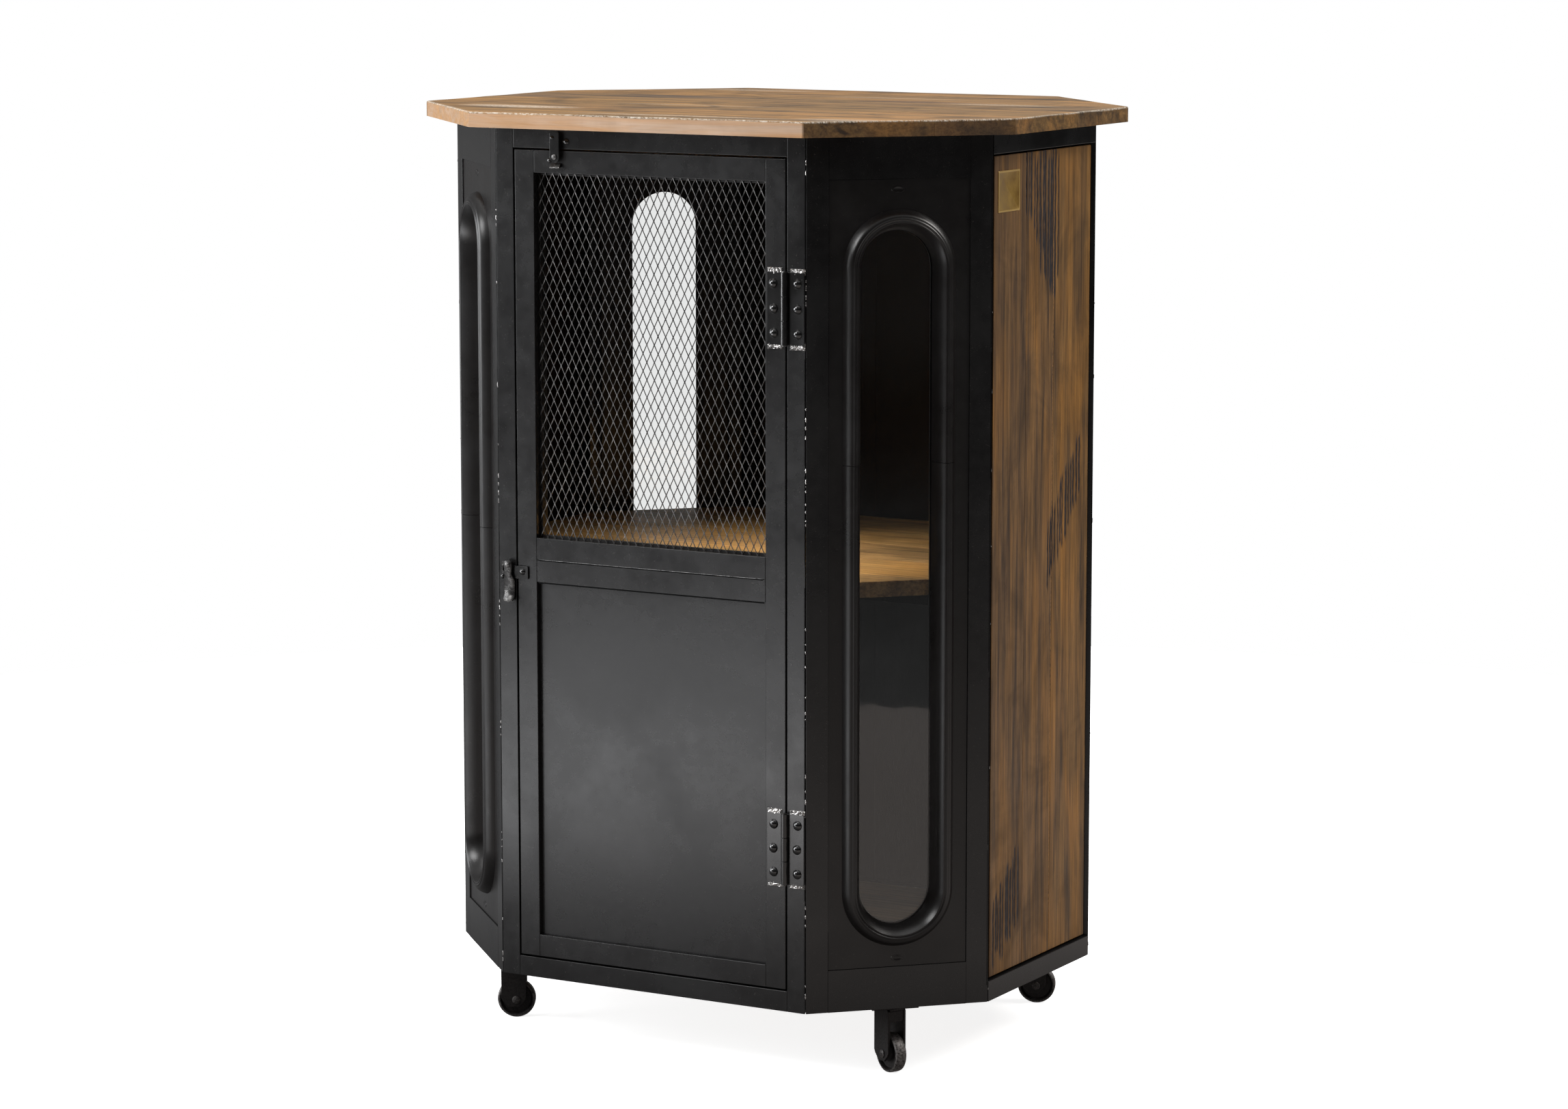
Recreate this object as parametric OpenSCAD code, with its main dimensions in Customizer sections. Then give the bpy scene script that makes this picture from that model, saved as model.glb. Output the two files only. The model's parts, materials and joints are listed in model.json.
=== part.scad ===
// Octagonal storage cabinet on casters: welded steel frame, wood top, sides and shelf,
// four corner windows and one hinged door with mesh above and sheet below.
// Z is up, the floor is z = 0, the door faces -Y and X runs to the right.

/* [Cabinet] */
// Height of the steel body, from its bottom rails to the underside of the top
body_h = 1000; // [900:10:1100]
// Width of the body over its side faces
body_w = 720; // [700:10:800]
// Depth of the body from the door face to the back
body_d = 576; // [560:8:640]
// Length that each corner chamfer takes off the width and the depth
chamfer_leg = 155; // [150:1:160]

/* [Wood] */
// Thickness of the top
top_t = 18; // [15:1:30]
// How far the top reaches past the body, all round
top_overhang = 34; // [20:1:50]
// Thickness of the shelf boards
shelf_t = 18; // [12:1:22]
// Height of the shelf's upper face above the body's bottom
shelf_h = 492; // [400:1:540]
// Thickness of the side and back boards
panel_t = 15; // [12:1:15]

/* [Steel frame] */
// Depth of every frame tube, from its outer face inwards
bar_d = 25; // [25:1:30]
// Wall thickness of the tubes
wall = 2; // [1.2:0.1:2.5]
// Width of the stiles at both sides of a corner window
stile_w = 27; // [25:1:30]
// Width of the two posts beside the door
post_w = 24; // [22:1:26]
// Height of the rails over and under the door and the wood panels
rail_h = 24; // [22:1:26]
// Height of the ring rails and of the inner rails of a corner frame
corner_rail_h = 25; // [22:1:27]

/* [Corner windows] */
// Outer width of the oval moulding
moulding_w = 132; // [128:1:136]
// Outer height of the oval moulding
moulding_h = 844; // [800:1:850]
// Height of a window's centre above the body's bottom
window_mid = 495; // [490:1:500]
// Thickness of the panes
glass_t = 3; // [2.5:0.5:4]

/* [Door] */
// Width of the door's tubes, seen from the front
door_bar_w = 26; // [24:1:28]
// Gap between the door and its frame
door_gap = 2; // [1.5:0.25:3]
// Height of the seam between the two middle rails above the body's bottom
middle_h = 498; // [460:1:540]
// Depth of the lower sheet behind the door's face
sheet_set = 6; // [2:1:10]
// Height of each hinge
hinge_h = 82; // [76:2:96]

/* [Casters] */
// Height of the casters, from the floor to the body's bottom
caster_h = 82; // [80:1:90]
// Diameter of the wheels
wheel_d = 46; // [42:1:48]
// Width of the wheel's tread
wheel_w = 14; // [12:1:15]

/* [Hidden] */
$fn = 48;

// Colours
steel = "#222224";
bright_steel = "#5a5a5c";
iron = "#3a3836";
wood = "#8a6444";
top_wood = "#a87f58";
glass_tint = [0.8, 0.9, 0.9, 0.35];
brass = "#b08d45";

// Faces, counted from the door face towards +X
FRONT = 0;
FRONT_RIGHT = 1;
RIGHT = 2;
BACK_RIGHT = 3;
BACK = 4;
BACK_LEFT = 5;
LEFT = 6;
FRONT_LEFT = 7;
CORNERS = [FRONT_RIGHT, BACK_RIGHT, BACK_LEFT, FRONT_LEFT];

// Plan of the body
half_w = body_w / 2;
half_d = body_d / 2;
front_len = body_w - 2 * chamfer_leg;
side_len = body_d - 2 * chamfer_leg;
corner_len = chamfer_leg * sqrt(2);
corner_x = half_w - chamfer_leg / 2;
corner_y = half_d - chamfer_leg / 2;
FACE_MIDS = [
    [0, -half_d], [corner_x, -corner_y], [half_w, 0], [corner_x, corner_y],
    [0, half_d], [-corner_x, corner_y], [-half_w, 0], [-corner_x, -corner_y]
];
// Two faces meet at 135 degrees, so each bar's end is cut at half of the 45 degree turn
turn = 45;
miter = tan(turn / 2);
// Half of the open weld seam between two neighbouring faces
seam = 0.4;
seam_x = seam / cos(turn / 2);
top_z = caster_h + body_h;

// Corner windows
moulding_r = moulding_w / 2;
window_straight = moulding_h - moulding_w;
glass_opening_r = moulding_r - 24;
panel_hole_r = glass_opening_r + 8;
pane_r = glass_opening_r + 3;
sheet_t = 2;
corner_panel_set = 1.5;
moulding_back = 12;
glass_set = corner_panel_set + moulding_back;
retainer_t = 2;
retainer_margin = 16;
corner_panel_w = corner_len - 2 * stile_w;
corner_panel_z = 2 * corner_rail_h - 1;
corner_panel_h = body_h - 2 * corner_panel_z;
// Heights of the joint between the two halves of each moulding, in the order of CORNERS
moulding_joints = [630, 600, 560, 526];
moulding_joint_gap = 0.3;

// Wood boards
board_gap = 0.3;
panel_set = 3;
panel_edge_gap = 8.5;
panel_end_gap = 2.5;
side_joints = [-42, 30];
back_joints = [-102, 6, 96];
shelf_joints = [-158, -52, 58, 160];
top_joints = [-214, -104, 12, 122, 226];
shelf_inset = 28;
shelf_front_inset = 34;
batten_w = 30;
batten_t = 6;
batten_end = 10;
bearer_w = 20;
bearer_h = 20;
floor_t = 12;
floor_clear = 1;
screw_r = 2;
screw_depth = 12;

// Door
door_w = front_len - 2 * post_w - 2 * door_gap;
door_h = body_h - 2 * rail_h - 2 * door_gap;
door_z = rail_h + door_gap;
door_open_w = door_w - 2 * door_bar_w;
middle_gap = 0.4;
mesh_z = middle_h + door_bar_w;
mesh_h = door_z + door_h - door_bar_w - mesh_z;
mesh_set = 8;
mesh_t = 1.2;
mesh_rod_w = 3;
door_sheet_t = 1.5;
door_sheet_z = door_z + door_bar_w;
door_sheet_h = middle_h - door_bar_w - door_sheet_z;

// Hinges
hinge_x = front_len / 2 - post_w - door_gap / 2;
hinge_mids = [190.5, 807];
leaf_t = 2;
leaf_w = 19.5;
knuckle_r = 4;
knuckle_out = 4.4;
pin_r = 2;
pin_play = 0.05;
pin_cap = 1.5;
knuckle_play = 0.4;
knuckle_clear = 4.5;
rivet_pitch = 28;
rivet_x = 15.5;
// Spans of the knuckles from the hinge's middle: the frame's leaf has the two outer ones
third = hinge_h / 6;
outer_spans = [[-hinge_h / 2, -third - knuckle_play / 2], [third + knuckle_play / 2, hinge_h / 2]];
inner_spans = [[-third + knuckle_play / 2, third - knuckle_play / 2]];

// Rivets
rivet_r = 4;
rivet_rise = 3;
shank_r = 2;
shank_len = 6;

// Side latch: a lever that hangs from a strap on the door, beside a keeper on the post
lever_pivot = [-189.5, 490];
lever_t = 2.2;
lever_set = 4.4;
lever_step = 2.2;
lever_head_r = 6;
lever_neck = 0.6;
lever_plate_w = 15;
lever_shoulder = -11;
lever_bend = [-16, -22];
lever_foot = [-35, -43.5];
lever_foot_out = 4;
lever_reach = 20;
strap_t = 2;
strap_play = 0.4;
strap_left = -192;
strap_right = -164;
strap_low = 474.5;
strap_high = 489.5;
strap_tab_r = 4;
strap_rivet = [-171.5, 483];
keeper_left = -199.5;
keeper_low = 479;
keeper_size = [4.5, 3, 15];
keeper_slot_low = 4;
keeper_slot = [1, 6];
keeper_rivet = [-200, 475.6];
ball_r = 3;
ball_rise = 2.2;

// Top latch: an arm that stands up from the door and covers the top rail
arm_pivot = [-121.5, 967];
arm_w = 12.5;
arm_top = 29;
arm_t = 2.2;
arm_set = 3.5;
arm_knob = [-124.3, 989];
arm_stop_rivet = [-108.6, 984.5];
arm_ball = [-131.6, 962.5];
pivot_r = 2;
pivot_gap = 0.2;
pivot_head_r = 3.2;
pivot_head_t = 1;
knob_r = 3;
knob_tip_r = 1.6;
knob_rise = 2.2;
hook_w = 13;
hook_low = 953.5;
hook_high = 960;
hook_out = 6;
hook_lip = 2;
hook_top = 1.6;

// Casters, each with its own rest direction of the axle, in the order of CORNERS
caster_set = 34;
caster_turns = [61, 112, 160, 119];
caster_trail = 6;
wheel_r = wheel_d / 2;
hub_r = 8;
hub_w = 17;
axle_r = 3;
axle_play = 0.05;
wheel_play = 0.08;
axle_head_r = 5;
axle_head_t = 2;
fork_gap = 18.4;
fork_t = 3;
fork_leg_w = 30;
fork_foot = 9;
fork_top = caster_h - 5;
kingpin_r = 5;
plate_size = 56;
plate_t = 3;
nut_r = 8;
nut_h = 6;
nut_play = 0.3;

// Name plate
name_plate = [54, 47, 1];
name_plate_mid = [-89, 932.5];

// Points along an arc: n + 1 of them, from angle a0 to a1
function arc(mid, r, a0, a1, n) =
    [for (i = [0:n]) mid + r * [cos(a0 + (a1 - a0) * i / n), sin(a0 + (a1 - a0) * i / n)]];

// Section of the moulding shell: x from the oval's centre line outwards, y out of the panel
moulding_section = concat(
    [[moulding_r, 0], [moulding_r, 2]],
    arc([moulding_r - 4.5, 2], 4.5, 15, 150, 4),
    [[moulding_r - 10, 3.5]],
    arc([moulding_r - 16.2, 7.5], 5, 0, 165, 5),
    [[moulding_r - 22.6, 0], [glass_opening_r, -moulding_back]],
    [[glass_opening_r + 2.5, -moulding_back], [glass_opening_r + 3.6, -1]],
    [[moulding_r - 18.6, 6], [moulding_r - 16.2, 9.6], [moulding_r - 13.8, 6.5]],
    [[moulding_r - 12, 1.5], [moulding_r - 7.5, 1.8], [moulding_r - 4.5, 3.8], [moulding_r - 2.4, 0]]
);

// Places children built in a face's own frame: x along the face, y inwards from it, z up from
// the body's bottom
module on_face(face) {
    translate([FACE_MIDS[face].x, FACE_MIDS[face].y, caster_h]) rotate([0, 0, turn * face]) children();
}

// Octagon of the body's plan, moved inwards by inset, and by front_inset at the door face
module plan(inset, front_inset) {
    span = half_w + half_d - chamfer_leg - inset * sqrt(2);
    x = half_w - inset;
    y = half_d - inset;
    front = half_d - front_inset;
    polygon([
        [x, y - (x + y - span)], [span - y, y], [y - span, y], [-x, span - x],
        [-x, x - span], [front - span, -front], [span - front, -front], [x, x - span]
    ]);
}

// Boards side by side: slices of the children along Y, split at the joints
module boards(joints, low, high) {
    edges = concat([low - 1], joints, [high + 1]);
    for (i = [0:len(edges) - 2])
        intersection() {
            children();
            translate([-body_w, edges[i] + board_gap / 2, 0])
                cube([2 * body_w, edges[i + 1] - edges[i] - board_gap, 2 * body_h]);
        }
}

// Vertical boards of one wood panel, in a face's frame
module wood_panel(length, joints) {
    half = length / 2 - panel_edge_gap;
    edges = concat([-half], joints, [half]);
    for (i = [0:len(edges) - 2])
        translate([edges[i] + (i > 0 ? board_gap : 0), panel_set, rail_h + panel_end_gap])
            cube([
                edges[i + 1] - edges[i] - (i > 0 ? board_gap : 0), panel_t,
                body_h - 2 * rail_h - 2 * panel_end_gap
            ]);
}

// Plan of a tube that ends on the corner between two faces, x inwards along its face
module mitred_tube_plan(w) {
    difference() {
        polygon([[seam_x, 0], [w, 0], [w, bar_d], [seam_x + bar_d * miter, bar_d]]);
        polygon([
            for (y = [wall, bar_d - wall]) [seam_x + y * miter + wall / cos(turn / 2), y],
            [w - wall, bar_d - wall], [w - wall, wall]
        ]);
    }
}

// The two upright tubes at both ends of a face
module uprights(length, w) {
    for (side = [0, 1])
        mirror([side, 0, 0]) translate([-length / 2, 0, 0])
            linear_extrude(body_h) mitred_tube_plan(w);
}

// A horizontal tube with open ends
module tube(length, h) {
    translate([-length / 2, 0, 0]) difference() {
        cube([length, bar_d, h]);
        translate([-1, wall, wall]) cube([length + 2, bar_d - 2 * wall, h - 2 * wall]);
    }
}

// Channel rail over a whole face, with mitred ends and its open side inwards
module channel_rail(length) {
    end = seam_x + bar_d * miter;
    difference() {
        linear_extrude(rail_h)
            polygon([
                [-length / 2 + seam_x, 0], [length / 2 - seam_x, 0],
                [length / 2 - end, bar_d], [-length / 2 + end, bar_d]
            ]);
        translate([-length / 2 + end + wall, wall, wall])
            cube([length - 2 * (end + wall), bar_d, rail_h - 2 * wall]);
    }
}

// Upright oval with half-round ends, standing in the XZ plane from depth y0 to y1
module oval(r, y0, y1) {
    translate([0, y1, window_mid]) rotate([90, 0, 0]) linear_extrude(y1 - y0) {
        for (side = [-1, 1]) translate([0, side * window_straight / 2]) circle(r = r);
        square([2 * r, window_straight], center = true);
    }
}

// Domed rivet on a face's frame: its dome stands out of depth y, its shank goes in
module rivet(x, y, z, r = rivet_r, rise = rivet_rise) {
    ball = (r * r + rise * rise) / (2 * rise);
    translate([x, y, z]) rotate([90, 0, 0]) {
        rotate_extrude() intersection() {
            translate([0, rise - ball]) circle(r = ball);
            square([r, rise]);
        }
        translate([0, 0, -shank_len]) cylinder(r = shank_r, h = shank_len + 0.1);
    }
}

// ---- Wood ----

module top_slab() {
    color(top_wood) boards(top_joints, -half_d - top_overhang, half_d + top_overhang)
        translate([0, 0, top_z]) linear_extrude(top_t) plan(-top_overhang, -top_overhang);
}

module right_wood_panel() { color(wood) on_face(RIGHT) wood_panel(side_len, side_joints); }
module left_wood_panel() { color(wood) on_face(LEFT) wood_panel(side_len, side_joints); }
module back_wood_panel() { color(wood) on_face(BACK) wood_panel(front_len, back_joints); }

module shelf() {
    color(top_wood) boards(shelf_joints, -half_d, half_d)
        translate([0, 0, caster_h + shelf_h - shelf_t])
            linear_extrude(shelf_t) plan(shelf_inset, shelf_front_inset);
}

module floor_board() {
    color(wood) translate([0, 0, caster_h + rail_h - floor_t])
        linear_extrude(floor_t) plan(bar_d + floor_clear, bar_d + floor_clear);
}

// ---- Steel frame ----

module front_posts() { color(steel) on_face(FRONT) uprights(front_len, post_w); }

module front_rails() {
    color(steel) on_face(FRONT) for (z = [0, body_h - rail_h])
        translate([0, 0, z]) tube(front_len - 2 * post_w, rail_h);
}

module channel_rails(faces, length) {
    color(steel) for (face = faces, z = [0, body_h - rail_h])
        on_face(face) translate([0, 0, z]) channel_rail(length);
}

module back_rails() { channel_rails([BACK], front_len); }
module side_rails() { channel_rails([RIGHT, LEFT], side_len); }

module corner_stiles() {
    color(steel) for (face = CORNERS) on_face(face) uprights(corner_len, stile_w);
}

module corner_ring_rails() {
    color(steel) for (face = CORNERS, z = [0, body_h - corner_rail_h])
        on_face(face) translate([0, 0, z]) tube(corner_panel_w, corner_rail_h);
}

module corner_inner_rails() {
    color(steel) for (face = CORNERS, z = [corner_rail_h, body_h - corner_panel_z])
        on_face(face) translate([0, 0, z]) tube(corner_panel_w, corner_rail_h - 1);
}

module panel_battens() {
    color(steel) for (face = [RIGHT, BACK, LEFT], side = [0, 1]) {
        length = face == BACK ? front_len : side_len;
        on_face(face) mirror([side, 0, 0])
            translate([-length / 2 + batten_end + 2, panel_set + panel_t, rail_h])
                cube([batten_w, batten_t, body_h - 2 * rail_h]);
    }
}

// Cross bars from one side's battens to the other's, under the shelf
module shelf_bearers() {
    half = half_w - panel_set - panel_t - batten_t;
    y = side_len / 2 - batten_end - batten_w / 2 - 2;
    color(steel) for (side = [-1, 1])
        translate([-half, side * y - bearer_w / 2, caster_h + shelf_h - shelf_t - bearer_h])
            cube([2 * half, bearer_w, bearer_h]);
}

// Cross bars between the bottom side rails, under the floor
module floor_bearers() {
    half = half_w - bar_d;
    y = side_len / 2 - batten_end - batten_w / 2 - 2;
    color(steel) for (side = [-1, 1])
        translate([-half, side * y - bearer_w / 2, caster_h])
            cube([2 * half, bearer_w, rail_h - floor_t]);
}

// ---- Corner windows ----

module corner_panel(face) {
    color(steel) on_face(face) difference() {
        translate([-corner_panel_w / 2, corner_panel_set, corner_panel_z])
            cube([corner_panel_w, sheet_t, corner_panel_h]);
        oval(panel_hole_r, 0, 2 * sheet_t + corner_panel_set);
    }
}

// One half of a moulding: its arch, and two legs down to the joint
module moulding_half(leg) {
    rotate([90, 0, 0]) rotate_extrude(angle = 180) polygon(moulding_section);
    for (side = [0, 1])
        mirror([side, 0, 0]) mirror([0, 1, 0]) translate([0, 0, -leg])
            linear_extrude(leg) polygon(moulding_section);
}

module moulding(index) {
    arch_high = window_mid + window_straight / 2;
    arch_low = window_mid - window_straight / 2;
    joint = moulding_joints[index];
    color(steel) on_face(CORNERS[index]) translate([0, corner_panel_set, 0]) {
        translate([0, 0, arch_high]) moulding_half(arch_high - joint - moulding_joint_gap / 2);
        translate([0, 0, arch_low]) mirror([0, 0, 1])
            moulding_half(joint - arch_low - moulding_joint_gap / 2);
    }
}

module pane(face) { color(glass_tint) on_face(face) oval(pane_r, glass_set, glass_set + glass_t); }

module glass_retainers() {
    set = glass_set + glass_t;
    color(steel) for (face = CORNERS) on_face(face) difference() {
        translate([-corner_panel_w / 2, set, corner_panel_z + retainer_margin])
            cube([corner_panel_w, retainer_t, corner_panel_h - 2 * retainer_margin]);
        oval(glass_opening_r - 1, set - 1, set + retainer_t + 1);
    }
}

module front_right_corner_panel() { corner_panel(FRONT_RIGHT); }
module back_right_corner_panel() { corner_panel(BACK_RIGHT); }
module back_left_corner_panel() { corner_panel(BACK_LEFT); }
module front_left_corner_panel() { corner_panel(FRONT_LEFT); }
module front_right_moulding() { moulding(0); }
module back_right_moulding() { moulding(1); }
module back_left_moulding() { moulding(2); }
module front_left_moulding() { moulding(3); }
module front_right_glass() { pane(FRONT_RIGHT); }
module back_right_glass() { pane(BACK_RIGHT); }
module back_left_glass() { pane(BACK_LEFT); }
module front_left_glass() { pane(FRONT_LEFT); }

// ---- Small fixed parts ----

module blank_plate() {
    color(brass) on_face(RIGHT)
        translate([
            name_plate_mid.x - name_plate.x / 2, panel_set - name_plate.z,
            name_plate_mid.y - name_plate.y / 2
        ])
            cube([name_plate.x, name_plate.z, name_plate.y]);
}

module top_screws() {
    color(bright_steel) for (face = CORNERS, side = [-1, 1])
        on_face(face) translate([side * corner_panel_w / 4, bar_d / 2, body_h - 2 * wall])
            cylinder(r = screw_r, h = 2 * wall + screw_depth);
}

// Leaf in the hinge's own frame: the pin's axis is x = 0, the leaf reaches to +x. It carries
// knuckles over the z spans given, and is cut back beside the other leaf's knuckles
module leaf(mid, spans) {
    axis_y = -knuckle_out;
    translate([0, 0, mid]) difference() {
        union() {
            translate([knuckle_clear, -leaf_t, -hinge_h / 2]) cube([leaf_w, leaf_t, hinge_h]);
            for (span = spans) {
                translate([1, -leaf_t, span[0]]) cube([knuckle_clear, leaf_t, span[1] - span[0]]);
                translate([0, axis_y, span[0]]) cylinder(r = knuckle_r, h = span[1] - span[0]);
            }
        }
        translate([0, axis_y, -hinge_h]) cylinder(r = pin_r + pin_play, h = 2 * hinge_h);
    }
}

module frame_hinge_leaves() {
    color(steel) on_face(FRONT) for (mid = hinge_mids)
        translate([hinge_x, 0, 0]) leaf(mid, outer_spans);
}

module hinge_pins() {
    color(bright_steel) on_face(FRONT) for (mid = hinge_mids)
        translate([hinge_x, -knuckle_out, mid]) {
            cylinder(r = pin_r, h = hinge_h, center = true);
            for (side = [0, 1]) mirror([0, 0, side])
                translate([0, 0, hinge_h / 2]) cylinder(r = pin_r + 1, h = pin_cap);
        }
}

module hinge_rivets(x) {
    for (mid = hinge_mids, step = [-1, 0, 1]) rivet(x, -leaf_t, mid + step * rivet_pitch);
}

module frame_rivets() {
    color(bright_steel) on_face(FRONT) {
        hinge_rivets(hinge_x + rivet_x);
        rivet(arm_stop_rivet.x, 0, arm_stop_rivet.y);
        rivet(keeper_rivet.x, 0, keeper_rivet.y, ball_r, ball_rise);
    }
}

// Small loop on the post, beside the lever
module side_latch_keeper() {
    color(bright_steel) on_face(FRONT) difference() {
        translate([keeper_left, -keeper_size.y, keeper_low]) cube(keeper_size);
        translate([keeper_left - 1, -keeper_size.y / 2 - keeper_slot.x / 2, keeper_low + keeper_slot_low])
            cube([keeper_size.x + 2, keeper_slot.x, keeper_slot.y]);
    }
}

module caster_plates() {
    color(steel) for (face = CORNERS) on_face(face) translate([0, caster_set, -plate_t]) difference() {
        translate([-plate_size / 2, -plate_size / 2, 0]) cube([plate_size, plate_size, plate_t]);
        translate([0, 0, -1]) cylinder(r = kingpin_r + axle_play, h = plate_t + 2);
    }
}

// ---- Door ----

module door_stiles() {
    color(steel) on_face(FRONT) for (side = [0, 1]) mirror([side, 0, 0])
        translate([-door_w / 2, 0, door_z]) difference() {
            cube([door_bar_w, bar_d, door_h]);
            translate([wall, wall, -1])
                cube([door_bar_w - 2 * wall, bar_d - 2 * wall, door_h + 2]);
        }
}

module door_rails() {
    bottoms = [
        door_z, middle_h - door_bar_w, middle_h + middle_gap / 2, door_z + door_h - door_bar_w
    ];
    heights = [door_bar_w, door_bar_w - middle_gap / 2, door_bar_w - middle_gap / 2, door_bar_w];
    color(steel) on_face(FRONT) for (i = [0:3])
        translate([0, 0, bottoms[i]]) tube(door_open_w, heights[i]);
}

module door_mesh() {
    color(bright_steel) on_face(FRONT)
        translate([-door_open_w / 2, mesh_set, mesh_z]) cube([door_open_w, mesh_t, mesh_h]);
}

// Slim rods behind the mesh's four edges
module mesh_retainers() {
    set = mesh_set + mesh_t;
    color(steel) on_face(FRONT) {
        for (side = [0, 1]) mirror([side, 0, 0])
            translate([-door_open_w / 2, set, mesh_z]) cube([mesh_rod_w, mesh_rod_w, mesh_h]);
        for (z = [mesh_z, mesh_z + mesh_h - mesh_rod_w])
            translate([-door_open_w / 2 + mesh_rod_w + board_gap, set, z])
                cube([door_open_w - 2 * (mesh_rod_w + board_gap), mesh_rod_w, mesh_rod_w]);
    }
}

module door_sheet() {
    color(steel) on_face(FRONT) translate([-door_open_w / 2, sheet_set, door_sheet_z])
        cube([door_open_w, door_sheet_t, door_sheet_h]);
}

module door_hinge_leaves() {
    color(steel) on_face(FRONT) for (mid = hinge_mids)
        translate([hinge_x, 0, 0]) mirror([1, 0, 0]) leaf(mid, inner_spans);
}

module door_rivets() {
    color(bright_steel) on_face(FRONT) {
        hinge_rivets(hinge_x - rivet_x);
        rivet(strap_rivet.x, -strap_t - strap_play, strap_rivet.y);
        rivet(arm_ball.x, 0, arm_ball.y, ball_r, ball_rise);
    }
}

// ---- Latches ----

// Strap over the gap between door and post; only its pad touches the door
module side_latch_strap() {
    pad_x = -door_w / 2 + 1;
    color(steel) on_face(FRONT) {
        translate([strap_left, -strap_t - strap_play, strap_low])
            cube([strap_right - strap_left, strap_t, strap_high - strap_low]);
        translate([lever_pivot.x, -strap_play, lever_pivot.y]) rotate([90, 0, 0])
            cylinder(r = strap_tab_r, h = strap_t);
        translate([pad_x, -strap_play, strap_low])
            cube([strap_right - pad_x, strap_play, strap_high - strap_low]);
    }
}

// Bracket under the arm's pivot
module top_latch_hook() {
    color(bright_steel) on_face(FRONT) translate([arm_pivot.x - hook_w / 2, 0, 0])
        rotate([90, 0, 90]) linear_extrude(hook_w)
            polygon([
                [0, hook_low + hook_lip], [0, hook_high], [-hook_top, hook_high],
                [-hook_out, hook_low + hook_lip], [-hook_out, hook_low]
            ]);
}

// Pin that stands out of the door from depth y0 and holds what turns on it up to depth y1
module pivot(at, y0, y1) {
    translate([at.x, -y0, at.y]) rotate([90, 0, 0]) {
        cylinder(r = pivot_r, h = y1 - y0 + pivot_gap);
        translate([0, 0, y1 - y0 + pivot_gap]) cylinder(r = pivot_head_r, h = pivot_head_t);
    }
}

module latch_pivots() {
    color(bright_steel) on_face(FRONT) {
        pivot(lever_pivot, strap_t + strap_play, lever_set + lever_t);
        pivot(arm_pivot, 0, arm_set + arm_t);
    }
}

// Side profile of the lever: depth and height from its pivot
module lever_profile() {
    back = -lever_set + lever_step;
    polygon([
        [-lever_set, lever_head_r], [-lever_set, lever_bend[0]], [back, lever_bend[1]],
        [back, lever_foot[0]], [back - lever_foot_out, lever_foot[1]],
        [back - lever_foot_out - lever_t, lever_foot[1]], [back - lever_t, lever_foot[0]],
        [back - lever_t, lever_bend[1]], [-lever_set - lever_t, lever_bend[0]],
        [-lever_set - lever_t, lever_head_r]
    ]);
}

// Front outline of the lever under its round head
module lever_outline() {
    neck = lever_head_r - lever_neck;
    plate_left = -lever_plate_w / 2 + 1;
    plate_top = lever_bend[0] - 2;
    polygon([
        [-neck, 0], [neck, 0], [neck, lever_shoulder], [plate_left + lever_plate_w, plate_top],
        [plate_left + lever_plate_w, lever_foot[1]], [plate_left, lever_foot[1]],
        [plate_left, plate_top], [-neck, lever_shoulder]
    ]);
}

// Hanging lever: its front outline cut out of its bent side profile
module side_latch_lever() {
    color(bright_steel) on_face(FRONT) translate([lever_pivot.x, 0, lever_pivot.y]) difference() {
        intersection() {
            translate([-lever_plate_w, 0, 0]) rotate([90, 0, 90])
                linear_extrude(2 * lever_plate_w) lever_profile();
            union() {
                rotate([90, 0, 0]) cylinder(r = lever_head_r, h = lever_reach);
                rotate([90, 0, 0]) linear_extrude(lever_reach) lever_outline();
            }
        }
        rotate([90, 0, 0]) cylinder(r = pivot_r + axle_play, h = lever_reach);
    }
}

module top_latch_arm() {
    color(bright_steel) on_face(FRONT) {
        translate([arm_pivot.x, -arm_set, arm_pivot.y]) rotate([90, 0, 0]) difference() {
            linear_extrude(arm_t) {
                circle(r = arm_w / 2);
                translate([-arm_w / 2, 0]) square([arm_w, arm_top]);
            }
            translate([0, 0, -1]) cylinder(r = pivot_r + axle_play, h = arm_t + 2);
        }
        translate([arm_knob.x, -arm_set - arm_t, arm_knob.y]) rotate([90, 0, 0])
            cylinder(r1 = knob_r, r2 = knob_tip_r, h = knob_rise);
    }
}

// ---- Casters ----

// Places children at one caster, turned to its rest direction, with the kingpin at x = y = 0
module at_caster(index) {
    face = CORNERS[index];
    inward = [-sin(turn * face), cos(turn * face)];
    translate([FACE_MIDS[face].x + caster_set * inward.x, FACE_MIDS[face].y + caster_set * inward.y, 0])
        rotate([0, 0, caster_turns[index]]) children();
}

// Fork with its kingpin; the axle runs along x
module fork(index) {
    leg_x = fork_gap / 2;
    nut_z = caster_h + nut_play;
    color(steel) at_caster(index) {
        for (side = [0, 1]) mirror([side, 0, 0]) difference() {
            translate([leg_x, -fork_leg_w / 2 - caster_trail / 2, wheel_r - fork_foot])
                cube([fork_t, fork_leg_w, fork_top - wheel_r + fork_foot]);
            translate([0, -caster_trail, wheel_r]) rotate([0, 90, 0])
                cylinder(r = axle_r + axle_play, h = wheel_d);
        }
        translate([-leg_x, -fork_leg_w / 2 - caster_trail / 2, fork_top - fork_t])
            cube([fork_gap, fork_leg_w, fork_t]);
        translate([0, 0, fork_top - fork_t]) cylinder(r = kingpin_r, h = nut_z + nut_h - fork_top + fork_t);
        translate([0, 0, nut_z]) cylinder(r = nut_r, h = nut_h, $fn = 6);
    }
}

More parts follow.
